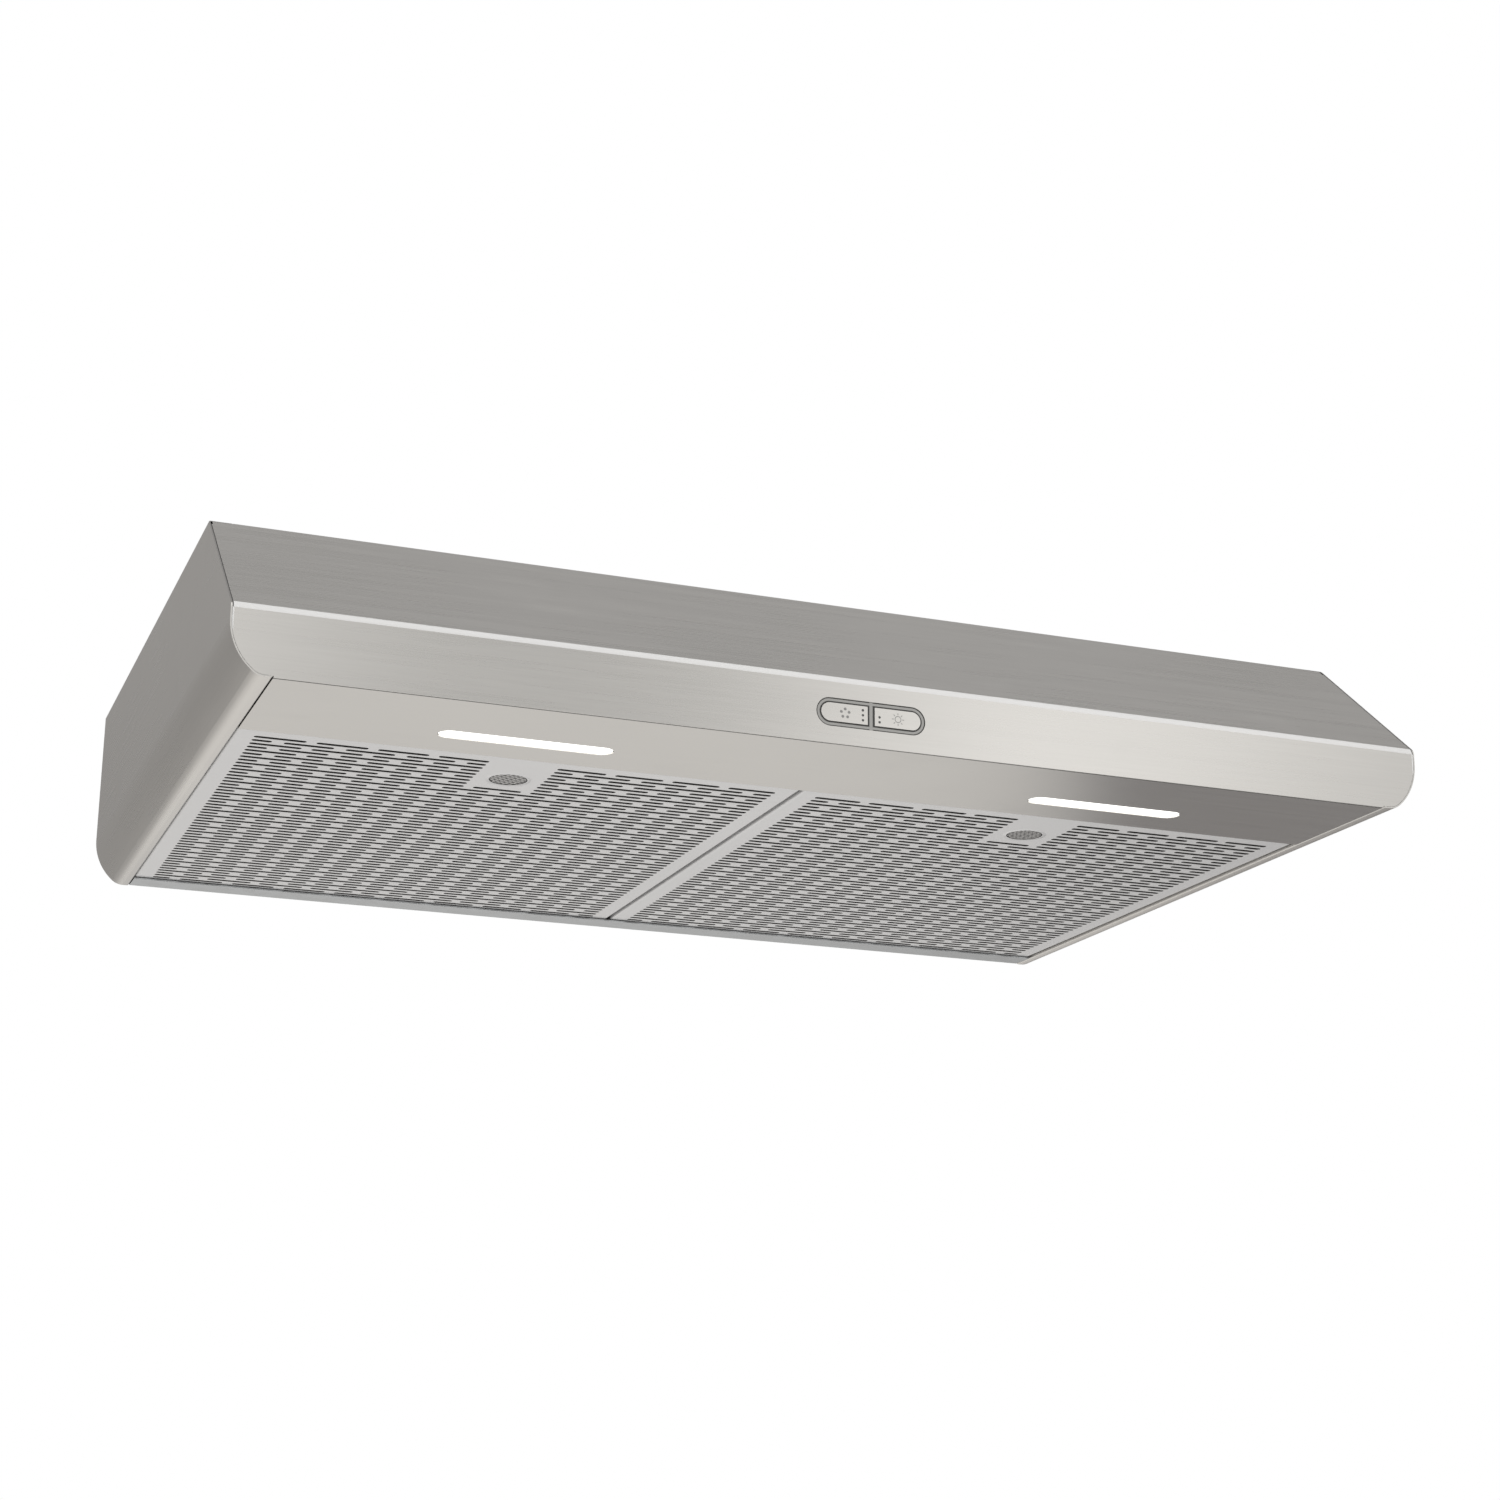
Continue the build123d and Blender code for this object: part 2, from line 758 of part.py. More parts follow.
# ================================================================ duct and damper
def collar_screw_places():
    """Four screws through the collar's flange, two along each long side."""
    return [(x * collar_screw_x, duct_y + y * (duct_depth + collar_flange) / 2)
            for x in (-1, 1) for y in (-1, 1)]


def make_duct_collar():
    with BuildPart() as collar:
        with BuildSketch(Plane((0, duct_y, top_under))):
            Rectangle(duct_width + 2 * collar_flange, duct_depth + 2 * collar_flange)
        extrude(amount=case_sheet)
        with BuildSketch(Plane((0, duct_y, top_under))):
            RectangleRounded(duct_width, duct_depth, duct_corner + case_sheet)
        extrude(amount=case_sheet + collar_height)
        with BuildSketch(Plane((0, duct_y, top_under))):
            RectangleRounded(collar_inner_width, collar_inner_depth, duct_corner)
        extrude(amount=case_sheet + collar_height, mode=Mode.SUBTRACT)
        with BuildSketch(Plane.YZ.offset(-duct_width / 2)):
            with Locations((damper_pin_y, flap_z)):
                Circle(damper_pin_radius + running_fit)
        extrude(amount=duct_width, mode=Mode.SUBTRACT)
        with BuildSketch(Plane.XY.offset(top_under)):
            with Locations(*collar_screw_places()):
                Circle(screw_radius)
        extrude(amount=case_sheet, mode=Mode.SUBTRACT)
    return collar.part


def make_damper_flap():
    length = collar_inner_width - 2 * flap_gap
    flap_rear = duct_y + collar_inner_depth / 2 - flap_gap
    knuckle = damper_pin_radius + damper_knuckle_wall
    with BuildPart() as flap:
        with BuildSketch(Plane.YZ.offset(-length / 2)):
            with Locations((damper_pin_y, flap_z)):
                Circle(knuckle)
        extrude(amount=length)
        box_between((-length / 2, damper_pin_y, flap_z - knuckle),
                    (length / 2, flap_rear, flap_z - knuckle + flap_thickness))
        with BuildSketch(Plane.YZ.offset(-length / 2)):
            with Locations((damper_pin_y, flap_z)):
                Circle(damper_pin_radius)
        extrude(amount=length, mode=Mode.SUBTRACT)
    return flap.part


def make_damper_pin():
    with BuildPart() as pin:
        with BuildSketch(Plane.YZ.offset(-duct_width / 2)):
            with Locations((damper_pin_y, flap_z)):
                Circle(damper_pin_radius)
        extrude(amount=duct_width)
    return pin.part


# ================================================================ blower
def scroll_outline(z, grow):
    """The blower's plan: a growing scroll that runs into the duct's box, made larger by grow."""
    left_x = blower_x - scroll_half_step
    right_x = blower_x + scroll_half_step
    low_y = blower_y - scroll_half_step
    high_y = blower_y + scroll_half_step
    radii = [scroll_start_radius + step * scroll_step for step in range(3)]
    with BuildSketch(Plane.XY.offset(z)) as plan:
        with BuildLine():
            CenterArc((left_x, low_y), radii[0], 90, 90)
            CenterArc((right_x, low_y), radii[1], 180, 90)
            CenterArc((right_x, high_y), radii[2], 270, 90)
            Polyline((plenum_half, high_y), (plenum_half, plenum_rear), (-plenum_half, plenum_rear),
                     (-plenum_half, plenum_front), (left_x, plenum_front), (left_x, low_y + radii[0]))
        make_face()
        offset(amount=grow, mode=Mode.REPLACE)
    return plan.sketch


def cover_screw_places():
    """Screws round the flange that joins the blower's cover to its housing."""
    out = scroll_wall + (blower_flange - scroll_wall) / 2
    scroll_reach = scroll_start_radius + scroll_half_step
    low_reach = scroll_start_radius + scroll_step + scroll_half_step
    return [(blower_x - scroll_reach - out, blower_y - scroll_half_step),
            (blower_x + scroll_half_step, blower_y - low_reach - out),
            (plenum_half + out, blower_y + scroll_step),
            (plenum_half + out, plenum_front + duct_depth / 2),
            (-plenum_half - out, plenum_front + duct_depth / 2),
            (0, plenum_rear + out)]


def make_blower_housing():
    with BuildPart() as housing:
        extrude(scroll_outline(blower_base_z, scroll_wall), amount=blower_height)
        extrude(scroll_outline(blower_base_z, blower_flange), amount=scroll_wall)
        with BuildSketch(Plane((0, duct_y, blower_top_z))):
            Rectangle(duct_width, duct_depth)
        extrude(amount=top_inner - blower_top_z)
        extrude(scroll_outline(blower_base_z, 0), amount=blower_height - scroll_wall, mode=Mode.SUBTRACT)
        with BuildSketch(Plane((0, duct_y, blower_top_z - scroll_wall))):
            Rectangle(duct_width - 2 * scroll_wall, duct_depth - 2 * scroll_wall)
        extrude(amount=top_inner - blower_top_z + scroll_wall, mode=Mode.SUBTRACT)
        with BuildSketch(Plane.XY.offset(blower_base_z)):
            with Locations(*cover_screw_places()):
                Circle(screw_radius)
        extrude(amount=scroll_wall, mode=Mode.SUBTRACT)
        with BuildSketch(Plane((blower_x, blower_y, blower_top_z))):
            with PolarLocations(motor_radius - screw_head_radius, motor_screws):
                Circle(screw_radius)
        extrude(amount=-scroll_wall, mode=Mode.SUBTRACT)
    return housing.part


def make_blower_cover():
    """The floor of the blower, with its inlet turned up into a lip."""
    lip_outer = inlet_radius + blower_cover_sheet
    shoulder = lip_outer + inlet_lip_radius
    with BuildPart() as cover:
        extrude(scroll_outline(blower_floor_z, blower_flange), amount=blower_cover_sheet)
        with BuildSketch(Plane.XY.offset(blower_floor_z)):
            with Locations((blower_x, blower_y)):
                Circle(shoulder)
            with Locations(*cover_screw_places()):
                Circle(screw_radius)
        extrude(amount=blower_cover_sheet, mode=Mode.SUBTRACT)
        with BuildSketch(Plane((blower_x, blower_y, 0), x_dir=(1, 0, 0), z_dir=(0, -1, 0))):
            with BuildLine():
                FilletPolyline((shoulder, blower_base_z), (lip_outer, blower_base_z),
                               (lip_outer, blower_base_z + inlet_lip), radius=inlet_lip_radius - seam)
                offset(amount=blower_cover_sheet, side=Side.LEFT)
            make_face()
        revolve(axis=Axis((blower_x, blower_y, 0), (0, 0, 1)))
    return cover.part


def make_inlet_guard():
    """Rings and spokes under the inlet, held against the cover."""
    outer = inlet_radius + blower_cover_sheet + inlet_lip_radius + 2 * guard_ring_width
    with BuildPart() as guard:
        with BuildSketch(Plane((blower_x, blower_y, blower_floor_z))):
            for ring in range(guard_rings):
                radius = outer * (ring + 1) / guard_rings
                Circle(radius)
                Circle(radius - guard_ring_width, mode=Mode.SUBTRACT)
            with PolarLocations(outer / 2, guard_spokes):
                Rectangle(outer - guard_ring_width, guard_ring_width)
        extrude(amount=-guard_thickness)
    return guard.part


def make_motor():
    with BuildPart() as motor:
        with BuildSketch(Plane((blower_x, blower_y, motor_bottom))):
            Circle(motor_radius)
        extrude(amount=motor_height)
        fillet(motor.faces().sort_by(Axis.Z)[0].edges(), fascia_bend)
        with BuildSketch(Plane((blower_x, blower_y, motor_bottom))):
            Circle(bush_radius)
        extrude(amount=bush_depth, mode=Mode.SUBTRACT)
        with BuildSketch(Plane((blower_x, blower_y, motor_bottom))):
            Circle(shaft_radius + shaft_room)
        extrude(amount=shaft_in_motor + shaft_room, mode=Mode.SUBTRACT)
        with BuildSketch(Plane((blower_x, blower_y, motor_top))):
            with PolarLocations(motor_radius - screw_head_radius, motor_screws):
                Circle(screw_radius)
        extrude(amount=-screw_tail, mode=Mode.SUBTRACT)
    return motor.part


def make_motor_bush():
    with BuildPart() as bush:
        with BuildSketch(Plane((blower_x, blower_y, motor_bottom - bush_proud))):
            Circle(bush_radius)
            Circle(shaft_radius + running_fit, mode=Mode.SUBTRACT)
        extrude(amount=bush_depth + bush_proud)
    return bush.part


def make_motor_shaft():
    bottom = wheel_cup_floor - wheel_hub_drop
    with BuildPart() as shaft:
        with BuildSketch(Plane((blower_x, blower_y, bottom))):
            Circle(shaft_radius)
        extrude(amount=motor_bottom + shaft_in_motor - bottom)
    return shaft.part


def make_blower_wheel():
    """Squirrel-cage wheel: blades between a bottom ring and a top plate dished round the motor."""
    cup_outer = wheel_cup_radius + wheel_plate
    with BuildPart() as wheel:
        with BuildSketch(Plane((blower_x, blower_y, wheel_top - wheel_plate))):
            Circle(wheel_radius)
            Circle(wheel_cup_radius, mode=Mode.SUBTRACT)
        extrude(amount=wheel_plate)
        with BuildSketch(Plane((blower_x, blower_y, wheel_cup_floor))):
            Circle(cup_outer)
            Circle(wheel_cup_radius, mode=Mode.SUBTRACT)
        extrude(amount=wheel_top - wheel_cup_floor)
        with BuildSketch(Plane((blower_x, blower_y, wheel_cup_floor))):
            Circle(cup_outer)
        extrude(amount=-wheel_plate)
        with BuildSketch(Plane((blower_x, blower_y, wheel_cup_floor))):
            Circle(wheel_hub_radius)
        extrude(amount=-wheel_hub_drop)
        with BuildSketch(Plane((blower_x, blower_y, wheel_bottom))):
            Circle(wheel_radius)
            Circle(wheel_inner_radius, mode=Mode.SUBTRACT)
        extrude(amount=wheel_ring_height)
        with BuildSketch(Plane((blower_x, blower_y, wheel_bottom))):
            with PolarLocations(wheel_radius - wheel_blade_depth / 2, wheel_blades):
                Rectangle(wheel_blade_depth - 2 * wheel_plate, wheel_blade_thickness,
                          rotation=wheel_blade_turn)
        extrude(amount=wheel_height)
        with BuildSketch(Plane((blower_x, blower_y, wheel_cup_floor))):
            Circle(shaft_radius)
        extrude(amount=-wheel_hub_drop, mode=Mode.SUBTRACT)
    return wheel.part


def make_blower_hangers():
    """Two folded brackets that hang the housing from the top panel."""
    middle_y = blower_y - hanger_from_centre
    with BuildPart() as hangers:
        for side in (-1, 1):
            x = blower_x + side * hanger_spread / 2
            low_y = middle_y - hanger_width / 2
            high_y = middle_y + hanger_width / 2
            web = sorted((x, x + side * hanger_sheet))
            foot = sorted((x, x + side * hanger_length))
            box_between((web[0], low_y, blower_top_z), (web[1], high_y, top_inner))
            box_between((foot[0], low_y, blower_top_z), (foot[1], high_y, blower_top_z + hanger_sheet))
            box_between((foot[0], low_y, top_inner - hanger_sheet), (foot[1], high_y, top_inner))
    return hangers.part


# ================================================================ wiring
def make_wiring_box():
    with BuildPart() as box:
        box_between((box_x - box_length / 2, box_y - box_depth / 2, box_bottom),
                    (box_x + box_length / 2, box_y + box_depth / 2, box_top))
        box_between((box_x - box_length / 2 + box_wall, box_y - box_depth / 2 + box_wall, box_bottom),
                    (box_x + box_length / 2 - box_wall, box_y + box_depth / 2 - box_wall, box_top),
                    Mode.SUBTRACT)
    return box.part


def make_wiring_bush():
    """The snap bush that lines the cable hole in the top panel."""
    barrel = cable_radius + bush_wall
    with BuildPart() as bush:
        with BuildSketch(Plane.XY.offset(top_inner - bush_depth)):
            with Locations((box_x, box_y)):
                Circle(barrel)
        extrude(amount=bush_depth + 2 * case_sheet)
        with BuildSketch(Plane.XY.offset(top_inner - bush_barb_height)):
            with Locations((box_x, box_y)):
                Circle(barrel + bush_barb)
        extrude(amount=bush_barb_height)
        with BuildSketch(Plane.XY.offset(top_under)):
            with Locations((box_x, box_y)):
                Circle(barrel + bush_flange)
        extrude(amount=case_sheet)
        with BuildSketch(Plane.XY.offset(top_inner - bush_depth)):
            with Locations((box_x, box_y)):
                Circle(cable_radius)
        extrude(amount=bush_depth + 2 * case_sheet, mode=Mode.SUBTRACT)
    return bush.part


def wiring_screw_places():
    reach = box_length / 2 + screw_head_radius + box_wall
    return [(box_x - reach, box_y), (box_x + reach, box_y)]


def make_wiring_cover():
    reach = box_length / 2 + 2 * screw_head_radius + box_wall
    with BuildPart() as cover:
        box_between((box_x - reach, box_y - box_depth / 2, box_bottom - box_wall),
                    (box_x + reach, box_y + box_depth / 2, box_bottom))
        with BuildSketch(Plane.XY.offset(box_bottom)):
            with Locations(*wiring_screw_places()):
                Circle(screw_radius)
        extrude(amount=-box_wall, mode=Mode.SUBTRACT)
    return cover.part


def make_terminal_block():
    with BuildPart() as block:
        with BuildSketch(Plane((box_x, box_y - box_fitting_y, box_bottom))):
            Rectangle(terminal_length, terminal_depth)
        extrude(amount=terminal_height)
        with BuildSketch(Plane((box_x, box_y - box_fitting_y, box_bottom + terminal_height))):
            with GridLocations(terminal_length / terminal_ways, 0, terminal_ways, 1):
                Circle(screw_radius)
        extrude(amount=-terminal_screw_depth, mode=Mode.SUBTRACT)
    return block.part


def make_capacitor():
    with BuildPart() as capacitor:
        with BuildSketch(Plane((box_x - capacitor_length / 2, box_y + box_fitting_y,
                                box_bottom + capacitor_radius + seam), z_dir=(1, 0, 0))):
            Circle(capacitor_radius)
        extrude(amount=capacitor_length)
    return capacitor.part


def make_lead(route):
    """One sleeved lead along a route of straight runs joined by tangent arcs."""
    with BuildPart() as lead:
        with BuildLine() as path:
            FilletPolyline(*route, radius=lead_bend)
        with BuildSketch(Plane(origin=path.line @ 0, z_dir=path.line % 0)):
            Circle(lead_radius)
        sweep()
    return lead.part


def lead_routes():
    """Routes from the control case to each lamp and to the wiring box."""
    case_side = control_case_length / 2
    case_rear = bezel_rear + control_case_depth
    lead_y = (bezel_rear + case_rear) / 2
    lamp_end = lamp_x - lamp_length / 2
    lamp_mid_z = (lamp_bottom + lamp_top) / 2
    routes = {}
    for name, side in SIDES:
        routes[f"{name}_lamp_lead"] = [(side * case_side, lead_y, control_z),
                                       (side * (case_side + lead_run), lead_y, control_z),
                                       (side * (lamp_end - lead_run), lamp_y, lamp_mid_z),
                                       (side * lamp_end, lamp_y, lamp_mid_z)]
    box_front = box_y - box_depth / 2
    high_z = (box_bottom + box_top) / 2
    routes["supply_lead"] = [(case_side / 2, case_rear, control_z),
                             (case_side / 2, case_rear + lead_run, control_z),
                             (lamp_x, lamp_y, control_z + lamp_height),
                             (box_x, front + slant_depth + lead_behind_slant, high_z),
                             (box_x, box_front, high_z)]
    return routes


# ================================================================ fixing
def make_screws(places, under_head, head_direction, shank):
    """A group of like screws; the heads stand on under_head and the shanks go the other way."""
    with BuildPart() as screws:
        with BuildSketch(Plane.XY.offset(under_head)):
            with Locations(*places):
                Circle(screw_head_radius)
        extrude(amount=head_direction * screw_head_height)
        with BuildSketch(Plane.XY.offset(under_head)):
            with Locations(*places):
                Circle(screw_radius)
        extrude(amount=-head_direction * shank)
    return screws.part


def motor_screw_places():
    with PolarLocations(motor_radius - screw_head_radius, motor_screws) as ring:
        spots = [location.position for location in ring.locations]
    return [(blower_x + spot.X, blower_y + spot.Y) for spot in spots]


# ================================================================ build every piece
os.makedirs("parts", exist_ok=True)

right_side_panel = make_side_panel()
save(mirror(right_side_panel, about=Plane.YZ), "left_side_panel")
save(right_side_panel, "right_side_panel")
save(make_front_panel(), "front_panel")
save(make_light_strip(), "light_strip")
save(make_top_panel(), "top_panel")
save(make_rear_panel(), "rear_panel")

for name, side in SIDES:
    save(make_lens(side * lamp_x), f"{name}_lamp_lens")
    save(make_lamp_housing(side * lamp_x), f"{name}_lamp_housing")
    save(make_lamp_board(side * lamp_x), f"{name}_lamp_board")

save(make_bezel(), "control_bezel")
save(make_button(-1, fan_speeds), "fan_button")
save(make_indicators(-1, fan_speeds), "fan_indicators")
save(make_button(1, light_levels), "light_button")
save(make_indicators(1, light_levels), "light_indicators")
save(make_control_case(), "control_case")
save(make_control_board(), "control_board")
save(make_switches(), "button_switches")

for name, side in SIDES:
    middle = side * filter_x
    save(make_filter_tray(middle), f"{name}_filter_tray")
    save(make_filter_mesh(middle), f"{name}_filter_mesh")
    save(make_filter_back(middle), f"{name}_filter_back")
    save(make_latch_case(middle), f"{name}_latch_case")
    save(make_latch_button(middle), f"{name}_latch_button")
    save(make_latch_bolt(middle), f"{name}_latch_bolt")
    save(make_keeper(middle), f"{name}_latch_keeper")

save(make_duct_collar(), "duct_collar")
save(make_damper_flap(), "damper_flap")
save(make_damper_pin(), "damper_pin")

save(make_blower_housing(), "blower_housing")
save(make_blower_cover(), "blower_cover")
save(make_inlet_guard(), "inlet_guard")
save(make_motor(), "blower_motor")
save(make_motor_bush(), "motor_bush")
save(make_motor_shaft(), "motor_shaft")
save(make_blower_wheel(), "blower_wheel")
save(make_blower_hangers(), "blower_hangers")

save(make_wiring_box(), "wiring_box")
save(make_wiring_cover(), "wiring_cover")
save(make_wiring_bush(), "wiring_bush")
save(make_terminal_block(), "terminal_block")
save(make_capacitor(), "run_capacitor")
for name, route in lead_routes().items():
    save(make_lead(route), name)

save(make_screws(cover_screw_places(), blower_floor_z, -1, blower_cover_sheet + scroll_wall + screw_tail),
     "blower_cover_screws")
save(make_screws(collar_screw_places(), top_outer, 1, 2 * case_sheet + screw_tail), "collar_screws")
save(make_screws(motor_screw_places(), blower_top_z, 1, scroll_wall + screw_tail), "motor_screws")
save(make_screws(wiring_screw_places(), box_bottom - box_wall, -1, box_wall + screw_tail),
     "wiring_cover_screws")
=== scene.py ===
from math import pi, radians, tau

import bmesh
import bpy
from bpy.props import FloatProperty, FloatVectorProperty, IntProperty, PointerProperty
from mathutils import Matrix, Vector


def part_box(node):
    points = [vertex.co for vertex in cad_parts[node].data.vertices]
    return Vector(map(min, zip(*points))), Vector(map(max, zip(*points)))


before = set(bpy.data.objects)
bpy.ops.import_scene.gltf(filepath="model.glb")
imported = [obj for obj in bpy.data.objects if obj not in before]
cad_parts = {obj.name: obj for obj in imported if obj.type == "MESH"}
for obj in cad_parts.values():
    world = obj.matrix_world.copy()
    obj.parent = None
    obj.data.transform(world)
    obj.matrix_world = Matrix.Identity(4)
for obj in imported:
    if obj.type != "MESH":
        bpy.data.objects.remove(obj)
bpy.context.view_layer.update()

bl_info = {
    "name": "Under Cabinet Hood",
    "version": (1, 0, 0),
    "blender": (4, 5, 0),
    "location": "View3D > Sidebar > Hood",
    "description": "Finishes, glowing lamps and stage for a steel under cabinet hood",
    "category": "Object",
}

SIDES = ("left", "right")
MM = 0.001
MICRON = 0.000001
VALUE = "NodeSocketFloat"
PLACE = "NodeSocketVector"
MIX_INPUTS = (0, 6, 7)  # factor and the two colours among a Mix node's inputs
MIX_RESULT = 2
BLACK = (0.0, 0.0, 0.0)
FRONT_TO_PLAN = (-pi / 2, 0.0, 0.0)  # lays the upright front in the plane of the first two axes

# places on the CAD pieces
FOLD = (37.7 * MM, 41.6 * MM)  # foot and top of the rounded fold over the fascia, which carries a painted highlight
JOINT_WIDTH = 0.5 * MM  # painted shade in the joint at each end of the sloping front
RIM_WIDTH = 0.9 * MM  # painted highlight on the lip at each end of the fascia
STRIP_SEAM = 1.2 * MM  # painted shade where the underside strip meets the fascia
TRAY_SKIN = 0.08 * MM  # lower face of the filter tray's sheet, left out of the painted shade on the slot walls
SLOT_MARGIN = (5 * MM, 6 * MM)  # plain border round the slots, across and deep
DISH_RADII = (12.2 * MM, 14.8 * MM)  # foot and top of the slope of the dish round a latch button
MESH_DARKENING_HEIGHT = (1 * MM, 5 * MM)  # heights above the mesh's foot where its darkening starts and stops fading out
FAN_SIGN_X = -16.7 * MM
LAMP_SIGN_X = 17.3 * MM

# the floor and the camera
FLOOR_REACH = 14.0  # half the side of the floor, m
SENSOR_WIDTH = 36.0  # mm
CLIP = (0.05, 60.0)  # m

# the soft wall in front of the hood: degrees round from straight ahead, and brightness
WALL_STOPS = (
    (-180, 0.78),
    (-40, 0.78),
    (4, 1.1),
    (9, 0.92),
    (13, 0.52),
    (17.5, 0.41),
    (20.5, 0.58),
    (24.5, 1.20),
    (28.5, 1.40),
    (32, 1.04),
    (36, 0.76),
    (60, 0.74),
    (179, 0.78),
)
WALL_TINT = (1.0, 0.992, 0.978)

# tones of the rest of the soft surroundings, named for where they lie
UPPER_LEFT = (0.352, 0.35, 0.356)
UPPER_RIGHT = (0.295, 0.295, 0.30)
LOW_BACK = (0.955, 0.93, 0.895)
FLAG = (0.262, 0.25, 0.247)
ASIDE_LOW = (0.35, 0.34, 0.33)
ASIDE_HIGH = (0.44, 0.43, 0.42)
BELOW = (0.9, 0.9, 0.895)

# round soft patches: direction, degrees out to the full tone and to its end, tone
SOFT_PATCHES = (
    ((0.25, -0.55, 0.80), 14, 34, (1.3, 1.3, 1.29)),
    ((0.15, 0.45, 0.88), 15, 40, (0.37, 0.365, 0.365)),
)


# ---------------------------------------------------------------- sizes and colours to change


def colour(name, description, default):
    """A colour property with the usual limits."""
    return FloatVectorProperty(
        name=name, description=description, default=default, subtype="COLOR",
        size=3, min=0.0, max=1.0,
    )


class HoodStageSettings(bpy.types.PropertyGroup):
    camera_place: FloatVectorProperty(
        name="Camera place", description="Where the camera stands", unit="LENGTH",
        subtype="TRANSLATION", size=3, default=(-0.6057, -1.6428, -0.4481),
    )
    azimuth: FloatProperty(
        name="Azimuth", description="Turn of the view about the upright axis, 0 looks at the front",
        unit="ROTATION", default=radians(-20.94),
    )
    elevation: FloatProperty(
        name="Elevation", description="Height of the camera above the level, negative looks up",
        unit="ROTATION", default=radians(-16.48),
    )
    roll: FloatProperty(
        name="Roll", description="Tilt of the camera about its own line of sight",
        unit="ROTATION", default=radians(0.35),
    )
    lens: FloatProperty(
        name="Lens", description="Focal length on a 36 mm frame",
        unit="CAMERA", default=64.137, min=10.0,
    )
    floor_drop: FloatProperty(
        name="Floor drop", description="How far the floor lies under the hood",
        unit="LENGTH", default=1.9, min=0.2,
    )
    floor_colour: colour("Floor", "Colour of the pale floor", (0.84, 0.84, 0.835))
    backdrop: FloatProperty(
        name="Backdrop", description="Brightness of the backdrop behind the hood",
        default=1.0, min=0.0,
    )
    studio: FloatProperty(
        name="Studio light", description="Brightness of the soft light from all round",
        default=1.0, min=0.0,
    )


class HoodSteelSettings(bpy.types.PropertyGroup):
    case: colour("Case steel", "Satin stainless steel of the case", (0.64, 0.625, 0.60))
    filters: colour("Filter steel", "Dull steel of the filter trays", (0.80, 0.795, 0.795))
    # painted highlight: the light colour painted on the fascia's fold and lower ends
    painted_highlight: colour("Polished bend", "Steel that cleaning has rubbed bright", (0.95, 0.945, 0.94))
    # painted shade: the dark colour painted into the fascia's joints, the strip's seam and the slot
    # walls
    seam: colour("Seam", "Settled dirt in a seam", (0.12, 0.115, 0.11))
    tray_sheet: FloatProperty(
        name="Tray sheet", description="Thickness of the filter tray's sheet",
        unit="LENGTH", default=0.0006,
    )
    zinc: colour("Zinc sheet", "Zinc sheet of the rear, top and blower", (0.55, 0.565, 0.575))
    roughness: FloatProperty(
        name="Roughness", description="Roughness of the satin steel",
        default=0.26, min=0.0, max=1.0,
    )
    grain_pitch: FloatProperty(
        name="Grain pitch", description="Distance between brush lines",
        unit="LENGTH", default=0.0011, min=1e-4,
    )
    spangle: FloatProperty(
        name="Spangle", description="Size of the zinc crystals",
        unit="LENGTH", default=0.009, min=1e-3,
    )


class HoodTrimSettings(bpy.types.PropertyGroup):
    bezel: colour("Bezel", "Moulded frame round the buttons", (0.42, 0.415, 0.40))
    capsule_length: FloatProperty(
        name="Frame length", description="Length of the frame round the buttons",
        unit="LENGTH", default=0.07,
    )
    capsule_height: FloatProperty(
        name="Frame height", description="Height of the frame round the buttons",
        unit="LENGTH", default=0.0175,
    )
    border: FloatProperty(
        name="Frame border", description="Width of the frame's ring",
        unit="LENGTH", default=0.0028,
    )
    bar: FloatProperty(
        name="Frame bar", description="Width of the bar between the buttons",
        unit="LENGTH", default=0.0039,
    )
    mark: colour("Marks", "Printed signs on the buttons", (0.33, 0.325, 0.32))
    black: colour("Black plastic", "Moulded parts inside", (0.018, 0.018, 0.019))
    glow: colour("Lamp light", "Colour of the light bars", (1.0, 0.985, 0.945))
    lens_rim: FloatProperty(
        name="Lens rim", description="Width of the lens's hidden rim",
        unit="LENGTH", default=0.003,
    )
    glow_strength: FloatProperty(
        name="Lamp strength", description="Brightness of the light bars", default=1.5, min=0.0
    )
    fan_lobes: IntProperty(
        name="Fan lobes", description="Blades in the fan sign", default=5, min=2, max=9
    )
    sun_rays: IntProperty(
        name="Sun rays", description="Rays round the lamp sign", default=8, min=4, max=16
    )


# ---------------------------------------------------------------- node helpers


def add(tree, kind, inputs=None, **settings):
    """Add a node; an input takes a value, or the socket that feeds it."""
    made = tree.nodes.new(kind)
    for key, value in settings.items():
        setattr(made, key, value)
    for key, value in (inputs or {}).items():
        if isinstance(value, bpy.types.NodeSocket):
            tree.links.new(value, made.inputs[key])
        else:
            made.inputs[key].default_value = value
    return made


def maths(tree, operation, *values):
    """A Math node's result."""
    inputs = dict(enumerate(values))
    return add(tree, "ShaderNodeMath", inputs, operation=operation).outputs[0]


def vector_maths(tree, operation, *values):
    """A Vector Math node's vector."""
    inputs = dict(enumerate(values))
    return add(tree, "ShaderNodeVectorMath", inputs, operation=operation).outputs[0]


def length(tree, vector):
    """How long a vector is."""
    return add(tree, "ShaderNodeVectorMath", {0: vector}, operation="LENGTH").outputs["Value"]


def ramp(tree, value, low, high, ends=(0.0, 1.0)):
    """A smooth step up between two limits."""
    made = add(
        tree, "ShaderNodeMapRange",
        {"Value": value, "From Min": low, "From Max": high, "To Min": ends[0], "To Max": ends[1]},
        interpolation_type="SMOOTHSTEP",
    )
    return made.outputs["Result"]


def fall(tree, value, low, high):
    """A smooth step down between two limits."""
    return ramp(tree, value, low, high, ends=(1.0, 0.0))


